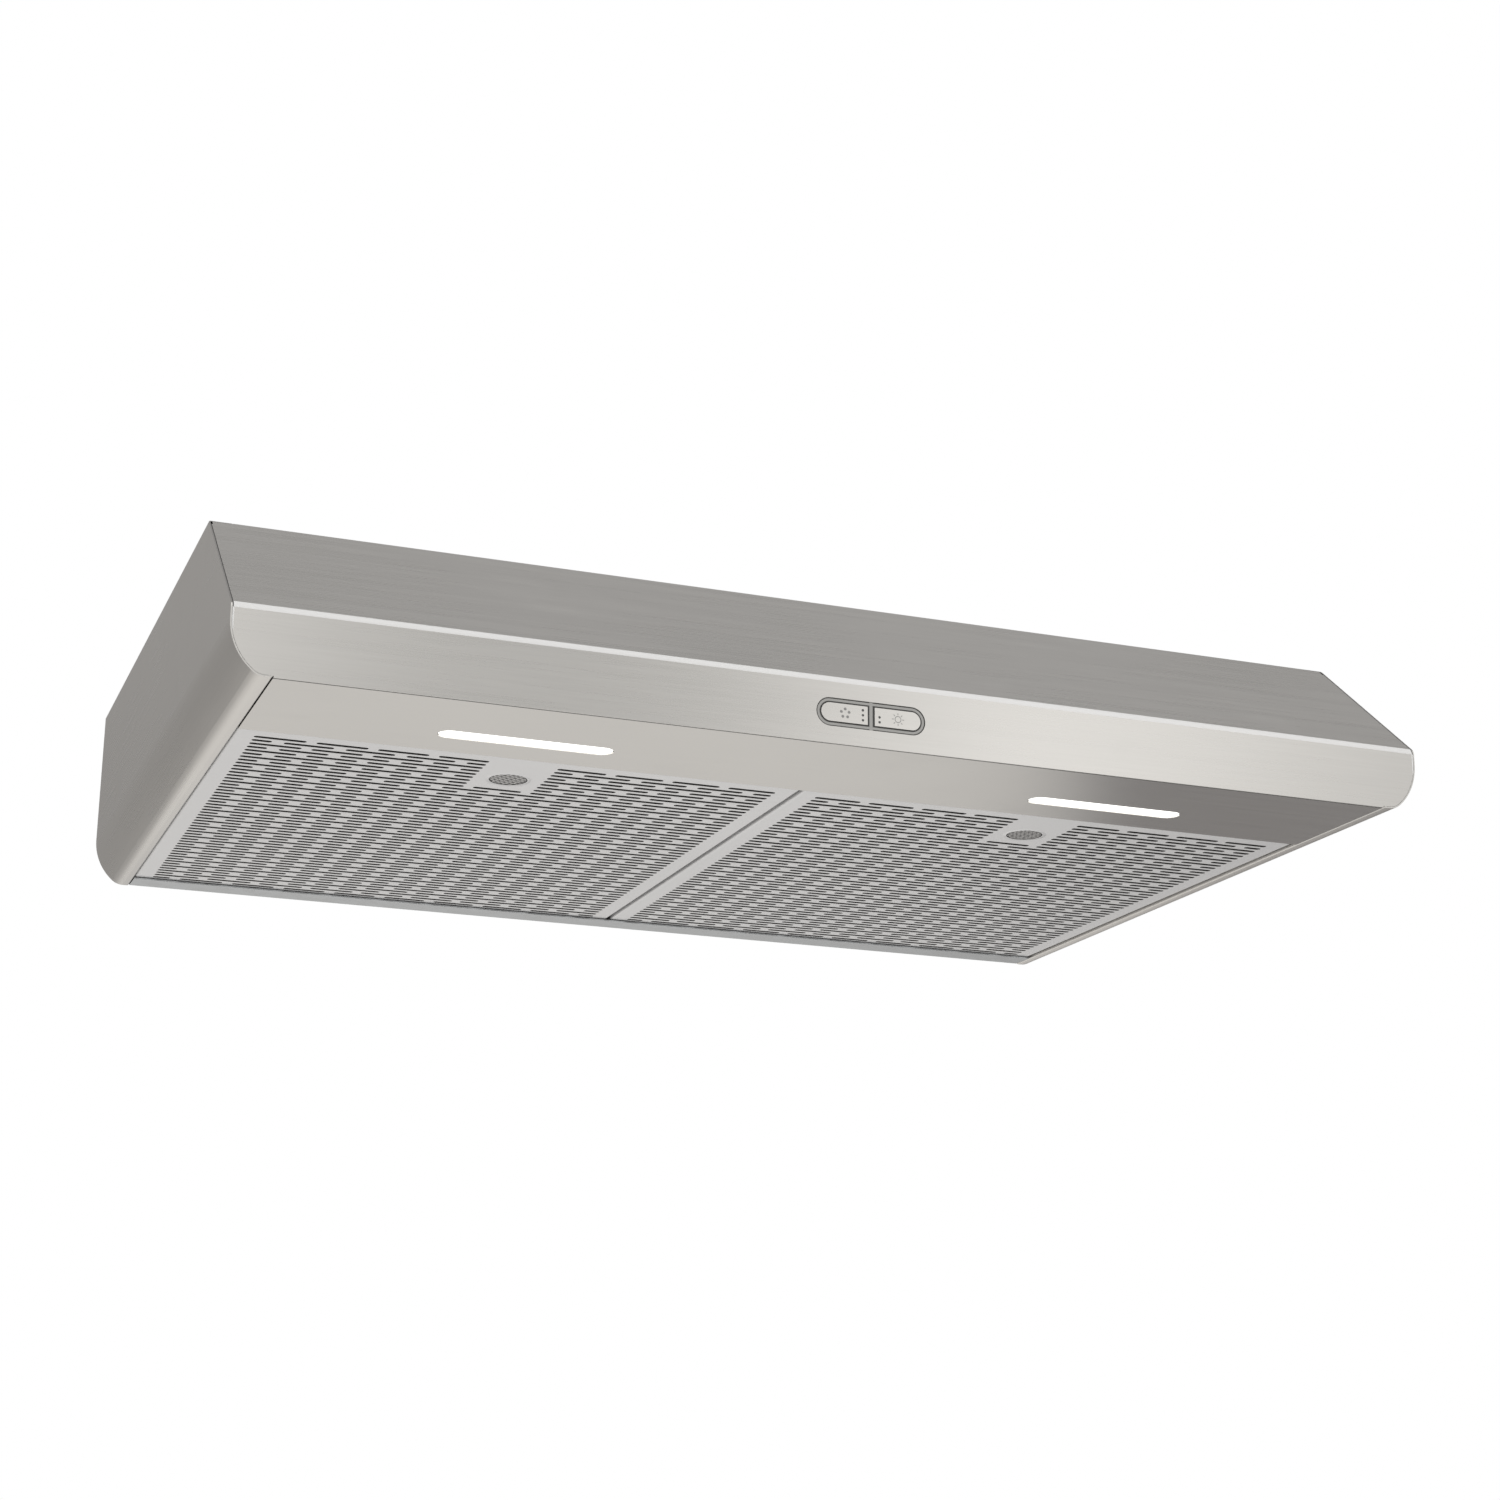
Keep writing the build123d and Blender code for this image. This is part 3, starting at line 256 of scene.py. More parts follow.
def step(tree, value, limit, soft=0.1 * MM):
    """0 under a limit and 1 over it, with a soft edge."""
    return ramp(tree, value, limit - soft, limit + soft)


def band(tree, value, low, high, soft):
    """1 where a value lies between two limits, with soft edges."""
    below_high = fall(tree, value, high - soft, high + soft)
    return maths(tree, "MULTIPLY", step(tree, value, low, soft), below_high)


def blend(tree, factor, first, second):
    """A colour mixed from two, each a colour or a socket, as the factor goes from 0 to 1."""
    colours = (
        colour if isinstance(colour, bpy.types.NodeSocket) else (*colour, 1.0)
        for colour in (first, second)
    )
    inputs = dict(zip(MIX_INPUTS, (factor, *colours)))
    return add(tree, "ShaderNodeMix", inputs, data_type="RGBA").outputs[MIX_RESULT]


def noise(tree, vector, scale, detail=2.0, roughness=0.5):
    """A noise value from 0 to 1."""
    inputs = {"Vector": vector, "Scale": scale, "Detail": detail, "Roughness": roughness}
    return add(tree, "ShaderNodeTexNoise", inputs).outputs["Fac"]


def stretched_noise(tree, vector, stretch, scale=1.0, detail=2.0, roughness=0.5):
    """A noise value whose grain is scaled apart for each axis."""
    return noise(tree, vector_maths(tree, "MULTIPLY", vector, stretch), scale, detail, roughness)


def new_group(name, inputs, outputs):
    """An empty node group with float or vector sockets, its input node and its output node."""
    tree = bpy.data.node_groups.new(name, "ShaderNodeTree")
    for socket, kind in inputs:
        tree.interface.new_socket(name=socket, in_out="INPUT", socket_type=kind)
    for socket, kind in outputs:
        tree.interface.new_socket(name=socket, in_out="OUTPUT", socket_type=kind)
    return tree, tree.nodes.new("NodeGroupInput"), tree.nodes.new("NodeGroupOutput")


def effect(name, build, inputs, outputs):
    """The named effect group, built the first time that it is asked for."""
    if name not in bpy.data.node_groups:
        tree, given, result = new_group(name, inputs, outputs)
        build(tree, given.outputs, result.inputs)
    return bpy.data.node_groups[name]


def place_effect(tree, group, inputs):
    """Put an effect group in a material and return its outputs."""
    return add(tree, "ShaderNodeGroup", inputs, node_tree=group).outputs


# ---------------------------------------------------------------- effects that finishes share


def brushed_grain():
    """Brush lines along the first axis, with a slow cloudiness under them."""

    def build(tree, given, result):
        across = maths(tree, "DIVIDE", 1.0, given["Pitch"])
        along = maths(tree, "MULTIPLY", across, 0.02)
        scales = {"X": along, "Y": across, "Z": across}
        stretch = add(tree, "ShaderNodeCombineXYZ", scales).outputs[0]
        lines = stretched_noise(tree, given["Vector"], stretch, detail=3.0, roughness=0.65)
        wide = stretched_noise(tree, given["Vector"], stretch, scale=0.23)
        both = maths(tree, "MULTIPLY_ADD", lines, 0.6, maths(tree, "MULTIPLY", wide, 0.4))
        tree.links.new(ramp(tree, both, 0.25, 0.75), result["Lines"])
        tree.links.new(noise(tree, given["Vector"], scale=7.0), result["Clouds"])

    return effect(
        "Brushed Grain", build,
        [("Vector", PLACE), ("Pitch", VALUE)], [("Lines", VALUE), ("Clouds", VALUE)],
    )


def handling_wear():
    """Faint wipe marks and rubbed patches, 0 where the surface is as made."""

    def build(tree, given, result):
        patches = noise(tree, given["Vector"], scale=16.0, detail=4.0, roughness=0.6)
        wipes = stretched_noise(tree, given["Vector"], (18.0, 60.0, 60.0), detail=3.0)
        both = maths(tree, "MULTIPLY", ramp(tree, patches, 0.45, 0.75), ramp(tree, wipes, 0.4, 0.8))
        tree.links.new(maths(tree, "MULTIPLY", both, given["Amount"]), result["Wear"])

    return effect(
        "Handling Wear", build, [("Vector", PLACE), ("Amount", VALUE)], [("Wear", VALUE)]
    )


def zinc_spangle():
    """Zinc crystals: one shade for each, and a height along their edges."""

    def build(tree, given, result):
        wobble = add(tree, "ShaderNodeTexNoise", {"Vector": given["Vector"], "Scale": 160.0})
        centred = vector_maths(tree, "SUBTRACT", wobble.outputs["Color"], (0.5, 0.5, 0.5))
        shift = vector_maths(tree, "MULTIPLY", centred, (6 * MM, 6 * MM, 6 * MM))
        moved = vector_maths(tree, "ADD", given["Vector"], shift)
        scale = maths(tree, "DIVIDE", 1.0, given["Size"])
        cells = add(tree, "ShaderNodeTexVoronoi", {"Vector": moved, "Scale": scale})
        shade = add(tree, "ShaderNodeSeparateColor", {"Color": cells.outputs["Color"]})
        shade = shade.outputs["Red"]
        fine = noise(tree, given["Vector"], scale=900.0)
        tree.links.new(shade, result["Shade"])
        tree.links.new(maths(tree, "MULTIPLY_ADD", fine, 0.4, shade), result["Height"])

    return effect(
        "Zinc Spangle", build,
        [("Vector", PLACE), ("Size", VALUE)], [("Shade", VALUE), ("Height", VALUE)],
    )


def diamond_net():
    """A net of diamond openings in the plane of the first two axes: 1 on the strands."""

    def build(tree, given, result):
        parts = add(tree, "ShaderNodeSeparateXYZ", {"Vector": given["Vector"]}).outputs
        u = maths(tree, "DIVIDE", parts["X"], given["Length"])
        v = maths(tree, "DIVIDE", parts["Y"], given["Width"])
        near = (
            maths(tree, "PINGPONG", maths(tree, sign, u, v), 0.5) for sign in ("ADD", "SUBTRACT")
        )
        nearest = maths(tree, "MINIMUM", *near)
        tree.links.new(fall(tree, nearest, 0.09, 0.2), result["Strand"])

    return effect(
        "Diamond Net", build,
        [("Vector", PLACE), ("Length", VALUE), ("Width", VALUE)], [("Strand", VALUE)],
    )


def moulded_texture():
    """The fine sparkle finish that a mould gives to plastic."""

    def build(tree, given, result):
        tree.links.new(noise(tree, given["Vector"], scale=1900.0), result["Pits"])
        tree.links.new(noise(tree, given["Vector"], scale=40.0), result["Clouds"])

    return effect(
        "Moulded Texture", build, [("Vector", PLACE)], [("Pits", VALUE), ("Clouds", VALUE)]
    )


def sector_turn(tree, vector, count):
    """A place round the vector's zero in one of count sectors: its radius and its turn in it."""
    parts = add(tree, "ShaderNodeSeparateXYZ", {"Vector": vector}).outputs
    turn = maths(tree, "ARCTAN2", parts["X"], parts["Y"])
    sector = maths(tree, "DIVIDE", tau, count)
    half = maths(tree, "MULTIPLY", sector, 0.5)
    wrapped = maths(tree, "FLOORED_MODULO", maths(tree, "ADD", turn, half), sector)
    return length(tree, vector), maths(tree, "SUBTRACT", wrapped, half)


def petal_sign():
    """Round lobes in a ring about the vector's zero, for the fan sign."""

    def build(tree, given, result):
        radius, folded = sector_turn(tree, given["Vector"], given["Lobes"])
        along = maths(tree, "MULTIPLY", radius, maths(tree, "COSINE", folded))
        out = maths(tree, "SUBTRACT", along, given["Ring"])
        side = maths(tree, "MULTIPLY", radius, maths(tree, "SINE", folded))
        away = length(tree, add(tree, "ShaderNodeCombineXYZ", {"X": out, "Y": side}).outputs[0])
        edge = maths(tree, "SUBTRACT", away, given["Blob"])
        tree.links.new(fall(tree, edge, -0.12 * MM, 0.12 * MM), result["Sign"])

    return effect(
        "Petal Sign", build,
        [("Vector", PLACE), ("Lobes", VALUE), ("Ring", VALUE), ("Blob", VALUE)], [("Sign", VALUE)],
    )


def sun_sign():
    """A ring with short rays about the vector's zero, for the lamp sign."""

    def build(tree, given, result):
        radius, folded = sector_turn(tree, given["Vector"], given["Rays"])
        side = maths(tree, "ABSOLUTE", maths(tree, "MULTIPLY", radius, maths(tree, "SINE", folded)))
        thin = maths(tree, "SUBTRACT", side, given["Stroke"])
        from_ring = maths(tree, "ABSOLUTE", maths(tree, "SUBTRACT", radius, given["Ring"]))
        ring = maths(tree, "SUBTRACT", from_ring, given["Stroke"])
        ray_middle = maths(tree, "MULTIPLY", given["Ring"], 1.75)
        ray_half = maths(tree, "MULTIPLY", given["Ring"], 0.32)
        from_middle = maths(tree, "ABSOLUTE", maths(tree, "SUBTRACT", radius, ray_middle))
        ray = maths(tree, "MAXIMUM", thin, maths(tree, "SUBTRACT", from_middle, ray_half))
        nearest = maths(tree, "MINIMUM", ring, ray)
        tree.links.new(fall(tree, nearest, -0.1 * MM, 0.1 * MM), result["Sign"])

    return effect(
        "Sun Sign", build,
        [("Vector", PLACE), ("Rays", VALUE), ("Ring", VALUE), ("Stroke", VALUE)], [("Sign", VALUE)],
    )


def soft_patch():
    """A round patch of the surroundings, 1 in its middle and 0 outside it."""

    def build(tree, given, result):
        towards = vector_maths(tree, "NORMALIZE", given["Towards"])
        both = {0: given["Vector"], 1: towards}
        dot = add(tree, "ShaderNodeVectorMath", both, operation="DOT_PRODUCT").outputs["Value"]
        angle = maths(tree, "ARCCOSINE", dot)
        tree.links.new(fall(tree, angle, given["Inner"], given["Outer"]), result["Patch"])

    return effect(
        "Soft Patch", build,
        [("Vector", PLACE), ("Towards", PLACE), ("Inner", VALUE), ("Outer", VALUE)],
        [("Patch", VALUE)],
    )


# ---------------------------------------------------------------- finishes


def new_finish(name):
    """A material with a bare Principled shader; returns its tree, shader and Object coordinates."""
    material = bpy.data.materials.new(name)
    material.use_nodes = True
    tree = material.node_tree
    tree.nodes.clear()
    shader = tree.nodes.new("ShaderNodeBsdfPrincipled")
    output = tree.nodes.new("ShaderNodeOutputMaterial")
    tree.links.new(shader.outputs[0], output.inputs[0])
    place = tree.nodes.new("ShaderNodeTexCoord").outputs["Object"]
    return material, tree, shader, place


def feed(tree, shader, **inputs):
    """Give the shader's sockets a value or a link, by name with underscores for spaces."""
    for key, value in inputs.items():
        socket = shader.inputs[key.replace("_", " ")]
        if isinstance(value, bpy.types.NodeSocket):
            tree.links.new(value, socket)
        elif socket.type == "RGBA" and len(value) == 3:
            socket.default_value = (*value, 1.0)
        else:
            socket.default_value = value


def bump(tree, height, distance, normal=None):
    """A Bump node's normal, on top of another bump's if one is given."""
    made = add(tree, "ShaderNodeBump", {"Height": height, "Distance": distance})
    if normal:
        tree.links.new(normal, made.inputs["Normal"])
    return made.outputs["Normal"]


def axis(tree, place, letter):
    """One coordinate of a place."""
    return add(tree, "ShaderNodeSeparateXYZ", {"Vector": place}).outputs[letter]


def from_line(tree, place, middle, half_run):
    """Distance in plan from a line along X, half_run to each side of its middle; 0 for a point."""
    moved = vector_maths(tree, "SUBTRACT", place, (*middle, 0.0))
    beyond = maths(tree, "SUBTRACT", maths(tree, "ABSOLUTE", axis(tree, moved, "X")), half_run)
    beyond = maths(tree, "MAXIMUM", beyond, 0.0)
    flat = {"X": beyond, "Y": axis(tree, moved, "Y")}
    return length(tree, add(tree, "ShaderNodeCombineXYZ", flat).outputs[0])


def turned(tree, place, middle=(0.0, 0.0, 0.0), turn=(0.0, 0.0, 0.0)):
    """Object coordinates moved so that middle is zero, then turned."""
    moved = vector_maths(tree, "SUBTRACT", place, middle)
    inputs = {"Vector": moved, "Rotation": turn}
    return add(tree, "ShaderNodeMapping", inputs, vector_type="POINT").outputs[0]


def shaded(base, amount):
    """A colour made lighter or darker by a share."""
    return tuple(min(1.0, c * amount) for c in base)


def mottled(tree, mask, base, dark, light):
    """A colour that goes from a darker to a lighter shade of itself as a mask goes from 0 to 1."""
    return blend(tree, mask, shaded(base, dark), shaded(base, light))


def around(tree, value, middle, spread):
    """A number that swings by a spread about a middle as a value goes from 0 to 1."""
    return maths(tree, "MULTIPLY_ADD", value, spread, middle - spread / 2)


def worn(tree, place, tone, marked, amount, share):
    """A tone with handling wear blended in by a share, and the wear itself."""
    wear = place_effect(tree, handling_wear(), {"Vector": place, "Amount": amount})["Wear"]
    return blend(tree, maths(tree, "MULTIPLY", wear, share), tone, marked), wear


def brushed_steel(name, base, roughness, pitch, along_y=False, extra=None):
    """Satin steel with brush lines along X or Y; extra adds a printed sign, or a painted highlight
    and painted shade, to it.
    """
    material, tree, shader, place = new_finish(name)
    along = turned(tree, place, turn=(0.0, 0.0, pi / 2 if along_y else 0.0))
    grain_axis = add(
        tree, "ShaderNodeCombineXYZ", {"X": float(not along_y), "Y": float(along_y)}
    ).outputs[0]
    grain = place_effect(tree, brushed_grain(), {"Vector": along, "Pitch": pitch})
    tone = mottled(tree, grain["Lines"], base, 0.97, 1.03)
    tone, wear = worn(tree, place, tone, shaded(base, 0.85), amount=0.5, share=0.12)
    dull = around(tree, grain["Lines"], roughness, 0.03)
    dull = maths(tree, "MULTIPLY_ADD", wear, 0.06, dull)
    dull = maths(tree, "MULTIPLY_ADD", grain["Clouds"], 0.04, dull)
    metal = 1.0
    # the extra mask carries the buttons' printed signs, and the fascia's and strip's painted
    # highlight and painted shade; it also lowers the metal and raises the roughness
    if extra:
        mark, mark_tone = extra(tree, place)
        tone = blend(tree, mark, tone, mark_tone)
        metal = maths(tree, "MULTIPLY_ADD", mark, -0.6, 1.0)
        dull = maths(tree, "MULTIPLY_ADD", mark, 0.2, dull)
    feed(tree, shader, Base_Color=tone, Metallic=metal, Roughness=dull, Tangent=grain_axis,
         Normal=bump(tree, grain["Lines"], 0.4 * MICRON), Anisotropic=0.95,
         Anisotropic_Rotation=0.25)
    return material


def dull_steel(name, base, roughness, extra, pressed):
    """Matt pressed sheet; extra changes its tone, for the trays with painted shade on the slot
    walls, and pressed gives the height of a pressing.
    """
    material, tree, shader, place = new_finish(name)
    fine = noise(tree, place, scale=1500.0, detail=3.0)
    tone = mottled(tree, noise(tree, place, scale=9.0), base, 0.97, 1.03)
    tone, _ = worn(tree, place, tone, shaded(base, 0.8), amount=0.6, share=0.15)
    normal = bump(tree, pressed(tree, place), 0.6 * MM, normal=bump(tree, fine, 10 * MICRON))
    feed(tree, shader, Base_Color=extra(tree, place, tone), Metallic=0.35,
         Roughness=around(tree, fine, roughness, 0.08), Normal=normal)
    return material


def zinc_sheet(name, base, size):
    """Zinc-coated steel with its crystals."""
    material, tree, shader, place = new_finish(name)
    spangle = place_effect(tree, zinc_spangle(), {"Vector": place, "Size": size})
    tone = mottled(tree, spangle["Shade"], base, 0.91, 1.08)
    tone, _ = worn(tree, place, tone, shaded(base, 0.75), amount=1.0, share=0.3)
    feed(tree, shader, Base_Color=tone, Metallic=1.0,
         Roughness=around(tree, spangle["Shade"], 0.415, 0.11),
         Normal=bump(tree, spangle["Height"], 20 * MICRON))
    return material


def moulded(name, base, roughness=0.5, contrast=0.06, edges=None):
    """Moulded plastic with a fine sparkle; edges gives a mask of the rounded sides, which gets a
    bump and painted shade.
    """
    material, tree, shader, place = new_finish(name)
    texture = place_effect(tree, moulded_texture(), {"Vector": place})
    tone = mottled(tree, texture["Clouds"], base, 1 - contrast, 1 + contrast)
    normal = bump(tree, texture["Pits"], 10 * MICRON)
    if edges:
        mask = edges(tree, place)
        # painted shade: the rounded sides darkened
        tone = blend(tree, mask, tone, shaded(base, 0.12))
        normal = bump(tree, maths(tree, "SUBTRACT", 1.0, mask), 0.3 * MM, normal=normal)
    feed(tree, shader, Base_Color=tone, Roughness=around(tree, texture["Pits"], roughness, 0.12),
         Normal=normal)
    return material


def plain_metal(name, base, roughness):
    """Turned, drawn or plated metal with faint machining marks."""
    material, tree, shader, place = new_finish(name)
    marks = stretched_noise(tree, place, (300.0, 300.0, 2400.0))
    stain = noise(tree, place, scale=60.0, detail=3.0)
    feed(tree, shader, Base_Color=mottled(tree, stain, base, 0.88, 1.06), Metallic=1.0,
         Roughness=around(tree, marks, roughness, 0.12), Normal=bump(tree, marks, 10 * MICRON))
    return material


def net_metal(name, strand, gap, diamond, turn=(0.0, 0.0, 0.0), full_tone_mask=None):
    """Metal with a net of diamonds, strands over hollows; full_tone_mask masks where the tone is
    kept, darker elsewhere.
    """
    material, tree, shader, place = new_finish(name)
    flat = turned(tree, place, turn=turn)
    net = place_effect(
        tree, diamond_net(), {"Vector": flat, "Length": diamond[0], "Width": diamond[1]}
    )["Strand"]
    rubbed = mottled(tree, noise(tree, place, scale=300.0), strand, 0.85, 1.0)
    tone = blend(tree, net, gap, rubbed)
    if full_tone_mask:
        tone = blend(tree, full_tone_mask(tree, place), blend(tree, 0.15, BLACK, tone), tone)
    feed(tree, shader, Base_Color=tone, Metallic=1.0, Roughness=around(tree, net, 0.5, -0.2),
         Normal=bump(tree, net, 0.4 * MM))
    return material


def middle_of(node):
    """The middle of a CAD node's box."""
    low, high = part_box(node)
    return (low.x + high.x) / 2, (low.y + high.y) / 2, (low.z + high.z) / 2


def dress(material, *nodes):
    """Give CAD nodes a finish."""
    for name in nodes:
        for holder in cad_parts[name].material_slots:
            holder.material = material


# ---------------------------------------------------------------- operators


class HOOD_OT_case(bpy.types.Operator):
    """Finish the folded case panels: satin steel outside, zinc sheet at the rear and top"""

    bl_idname = "hood.case"
    bl_label = "Case panels"

    def execute(self, context):
        steel = context.scene.hood_steel
        satin = {"base": steel.case, "roughness": steel.roughness, "pitch": steel.grain_pitch}

        def front_highlight_and_shade(tree, place):
            """Painted highlight on the fold and on the ends below it; painted shade in the joints
            above.
            """
            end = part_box("front_panel")[1].x
            across = maths(tree, "ABSOLUTE", axis(tree, place, "X"))
            height = axis(tree, place, "Z")
            fold = band(tree, height, *FOLD, 0.15 * MM)
            above = step(tree, height, FOLD[0])
            joint = maths(tree, "MULTIPLY", step(tree, across, end - JOINT_WIDTH), above)
            rim = maths(tree, "SUBTRACT", step(tree, across, end - RIM_WIDTH), above)
            # the fold and the lips get the painted highlight colour, the joints the painted shade
            # colour
            marks = maths(tree, "MAXIMUM", maths(tree, "MAXIMUM", fold, joint), rim)
            return marks, blend(tree, joint, steel.painted_highlight, steel.seam)

        def strip_seam_shade(tree, place):
            """Painted shade where the strip meets the fascia."""
            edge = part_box("light_strip")[0].y
            depth = axis(tree, place, "Y")
            return band(tree, depth, edge - MM, edge + STRIP_SEAM, 0.2 * MM), steel.seam

        dress(brushed_steel("satin_steel_front", extra=front_highlight_and_shade, **satin), "front_panel")
        smoother = {**satin, "roughness": steel.roughness * 0.7}
        dress(brushed_steel("satin_steel_strip", extra=strip_seam_shade, **smoother), "light_strip")
        side = brushed_steel("satin_steel_side", along_y=True, **satin)
        dress(side, "left_side_panel", "right_side_panel")
        dress(zinc_sheet("zinc_case", steel.zinc, steel.spangle), "rear_panel", "top_panel")
        return {"FINISHED"}


class HOOD_OT_filters(bpy.types.Operator):
    """Finish the two grease filters: slotted tray, layered mesh and back frame"""

    bl_idname = "hood.filters"
    bl_label = "Grease filters"

    def execute(self, context):
        steel = context.scene.hood_steel
        low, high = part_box("left_filter_tray")
        tray_x, tray_half = (low.x + high.x) / 2, (high.x - low.x) / 2

        def shaded_slot_walls(tree, place, tone):
            """Painted shade: the cut walls of the slots are painted dark with the seam colour."""
            height = axis(tree, place, "Z")
            cut = band(tree, height, low.z + TRAY_SKIN, low.z + steel.tray_sheet, 0.03 * MM)
            from_middle = maths(tree, "ABSOLUTE", axis(tree, place, "X"))
            across = maths(tree, "ABSOLUTE", maths(tree, "ADD", from_middle, tray_x))
            slots_half = tray_half - SLOT_MARGIN[0]
            inside = maths(
                tree, "MULTIPLY",
                band(tree, axis(tree, place, "Y"), low.y + SLOT_MARGIN[1], high.y - SLOT_MARGIN[1],
                     0.5 * MM),
                fall(tree, across, slots_half - 0.5 * MM, slots_half + 0.5 * MM),
            )
            return blend(tree, maths(tree, "MULTIPLY", cut, inside), tone, steel.seam)

        def dished(tree, place):
            """The shallow pressed dish round each latch button."""
            away = (
                from_line(tree, place, middle_of(f"{side}_latch_button")[:2], 0.0) for side in SIDES
            )
            return fall(tree, maths(tree, "MINIMUM", *away), *DISH_RADII)

        def away_from_slots(tree, place):
            """The mesh is darker in its lowest layers, next to the slots."""
            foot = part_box("left_filter_mesh")[0].z
            low, high = (foot + height for height in MESH_DARKENING_HEIGHT)
            return ramp(tree, axis(tree, place, "Z"), low, high)

        tray = dull_steel("filter_tray_steel", steel.filters, 0.42, shaded_slot_walls, dished)
        mesh = net_metal(
            "expanded_mesh", (0.46, 0.46, 0.47), (0.06, 0.06, 0.062),
            diamond=(6.2 * MM, 3.4 * MM), full_tone_mask=away_from_slots,
        )
        back = plain_metal("filter_back_metal", (0.66, 0.66, 0.67), 0.38)
        for side in SIDES:
            dress(tray, f"{side}_filter_tray")
            dress(mesh, f"{side}_filter_mesh")
            dress(back, f"{side}_filter_back")
        return {"FINISHED"}


class HOOD_OT_latches(bpy.types.Operator):
    """Finish the filter latches: chequered buttons, bolts, cases and spring keepers"""

    bl_idname = "hood.latches"
    bl_label = "Filter latches"

    def execute(self, context):
        black = context.scene.hood_trim.black
        button = net_metal(
            "chequered_steel", (0.74, 0.73, 0.72), (0.04, 0.04, 0.04),
            diamond=(5.2 * MM, 3.6 * MM), turn=(0.0, 0.0, radians(24)),
        )
        bolt = moulded("acetal_black", shaded(black, 1.6), 0.35)
        case = moulded("latch_case_black", black)
        keeper = plain_metal("spring_steel", (0.52, 0.52, 0.52), 0.25)
        for side in SIDES:
            dress(button, f"{side}_latch_button")
            dress(bolt, f"{side}_latch_bolt")
            dress(case, f"{side}_latch_case")
            dress(keeper, f"{side}_latch_keeper")
        return {"FINISHED"}


class HOOD_OT_lamps(bpy.types.Operator):
    """Finish the two light bars: glowing lenses, white housings and their boards"""

    bl_idname = "hood.lamps"
    bl_label = "Light bars"

    def execute(self, context):
        trim = context.scene.hood_trim
        material, tree, shader, place = new_finish("lit_lens")
        ribs = add(
            tree, "ShaderNodeTexWave", {"Vector": place, "Scale": 160.0}, bands_direction="X"
        )
        frost = noise(tree, place, scale=700.0)
        glow = mottled(tree, ribs.outputs["Fac"], trim.glow, 1.0, 0.97)
        low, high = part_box("right_lamp_lens")
        half = (high.y - low.y) / 2 - trim.lens_rim
        run = (high.x - low.x) / 2 - trim.lens_rim - half
        mirrored = vector_maths(tree, "ABSOLUTE", place)
        mirrored = vector_maths(tree, "MULTIPLY", mirrored, (1.0, -1.0, 1.0))
        from_middle = from_line(tree, mirrored, middle_of("right_lamp_lens")[:2], run)
        face = fall(tree, from_middle, half - 0.6 * MM, half - 0.2 * MM)
        shell = blend(tree, face, (0.08, 0.08, 0.078), (0.8, 0.8, 0.78))
        feed(tree, shader, Base_Color=shell, Roughness=0.35,
             Emission_Color=blend(tree, face, BLACK, glow), Emission_Strength=trim.glow_strength,
             Normal=bump(tree, frost, 20 * MICRON))
        housing = moulded("lamp_white", (0.82, 0.82, 0.80), 0.45, 0.03)
        board = moulded("board_green", (0.02, 0.09, 0.045), 0.35, 0.15)
        for side in SIDES:
            dress(material, f"{side}_lamp_lens")
            dress(housing, f"{side}_lamp_housing")
            dress(board, f"{side}_lamp_board")
        dress(board, "control_board")
        return {"FINISHED"}


class HOOD_OT_controls(bpy.types.Operator):
    """Finish the push buttons with their signs, the bezel, indicators and switch case"""

    bl_idname = "hood.controls"
    bl_label = "Push buttons"

    def execute(self, context):
        steel = context.scene.hood_steel
        trim = context.scene.hood_trim
        bezel_x, _, bezel_z = middle_of("control_bezel")
        half = trim.capsule_height / 2
        run = trim.capsule_length / 2 - half

        def sign(x, group, sizes):
            """A printed sign on a button, centred at x on the buttons' middle line."""

            def printed(tree, place):
                flat = turned(tree, place, middle=(x, 0.0, bezel_z), turn=FRONT_TO_PLAN)
                on_face = vector_maths(tree, "MULTIPLY", flat, (1.0, 1.0, 0.0))
                return place_effect(tree, group, {"Vector": on_face, **sizes})["Sign"], trim.mark

            return printed

        def rounded(tree, place):
            """The bezel's ring and bar are rounded over, with painted shade darkening their edges.
            """
            flat = turned(tree, place, middle=(bezel_x, 0.0, bezel_z), turn=FRONT_TO_PLAN)
            from_middle = from_line(tree, flat, (0.0, 0.0), run)
            ring = maths(tree, "SUBTRACT", from_middle, half - trim.border / 2)
            ring = maths(tree, "DIVIDE", maths(tree, "ABSOLUTE", ring), trim.border / 2)
            bar = maths(tree, "ABSOLUTE", axis(tree, flat, "X"))
            bar = maths(tree, "DIVIDE", bar, trim.bar / 2)
            return ramp(tree, maths(tree, "MINIMUM", ring, bar), 0.45, 0.7)

        fan_sizes = {"Lobes": trim.fan_lobes, "Ring": 2.6 * MM, "Blob": 0.9 * MM}
        sun_sizes = {"Rays": trim.sun_rays, "Ring": 1.9 * MM, "Stroke": 0.22 * MM}
        fan = sign(FAN_SIGN_X, petal_sign(), fan_sizes)
        sun = sign(LAMP_SIGN_X, sun_sign(), sun_sizes)
        cap = {
            "base": shaded(steel.case, 1.04),
            "roughness": steel.roughness,
            "pitch": steel.grain_pitch,
        }
        dress(brushed_steel("satin_button_fan", extra=fan, **cap), "fan_button")
        dress(brushed_steel("satin_button_light", extra=sun, **cap), "light_button")
        dress(moulded("bezel_grey", trim.bezel, 0.38, edges=rounded), "control_bezel")
        dress(moulded("light_pipe", (0.10, 0.10, 0.10), 0.2), "fan_indicators", "light_indicators")
        dress(moulded("switch_black", trim.black), "control_case", "button_switches")
        return {"FINISHED"}


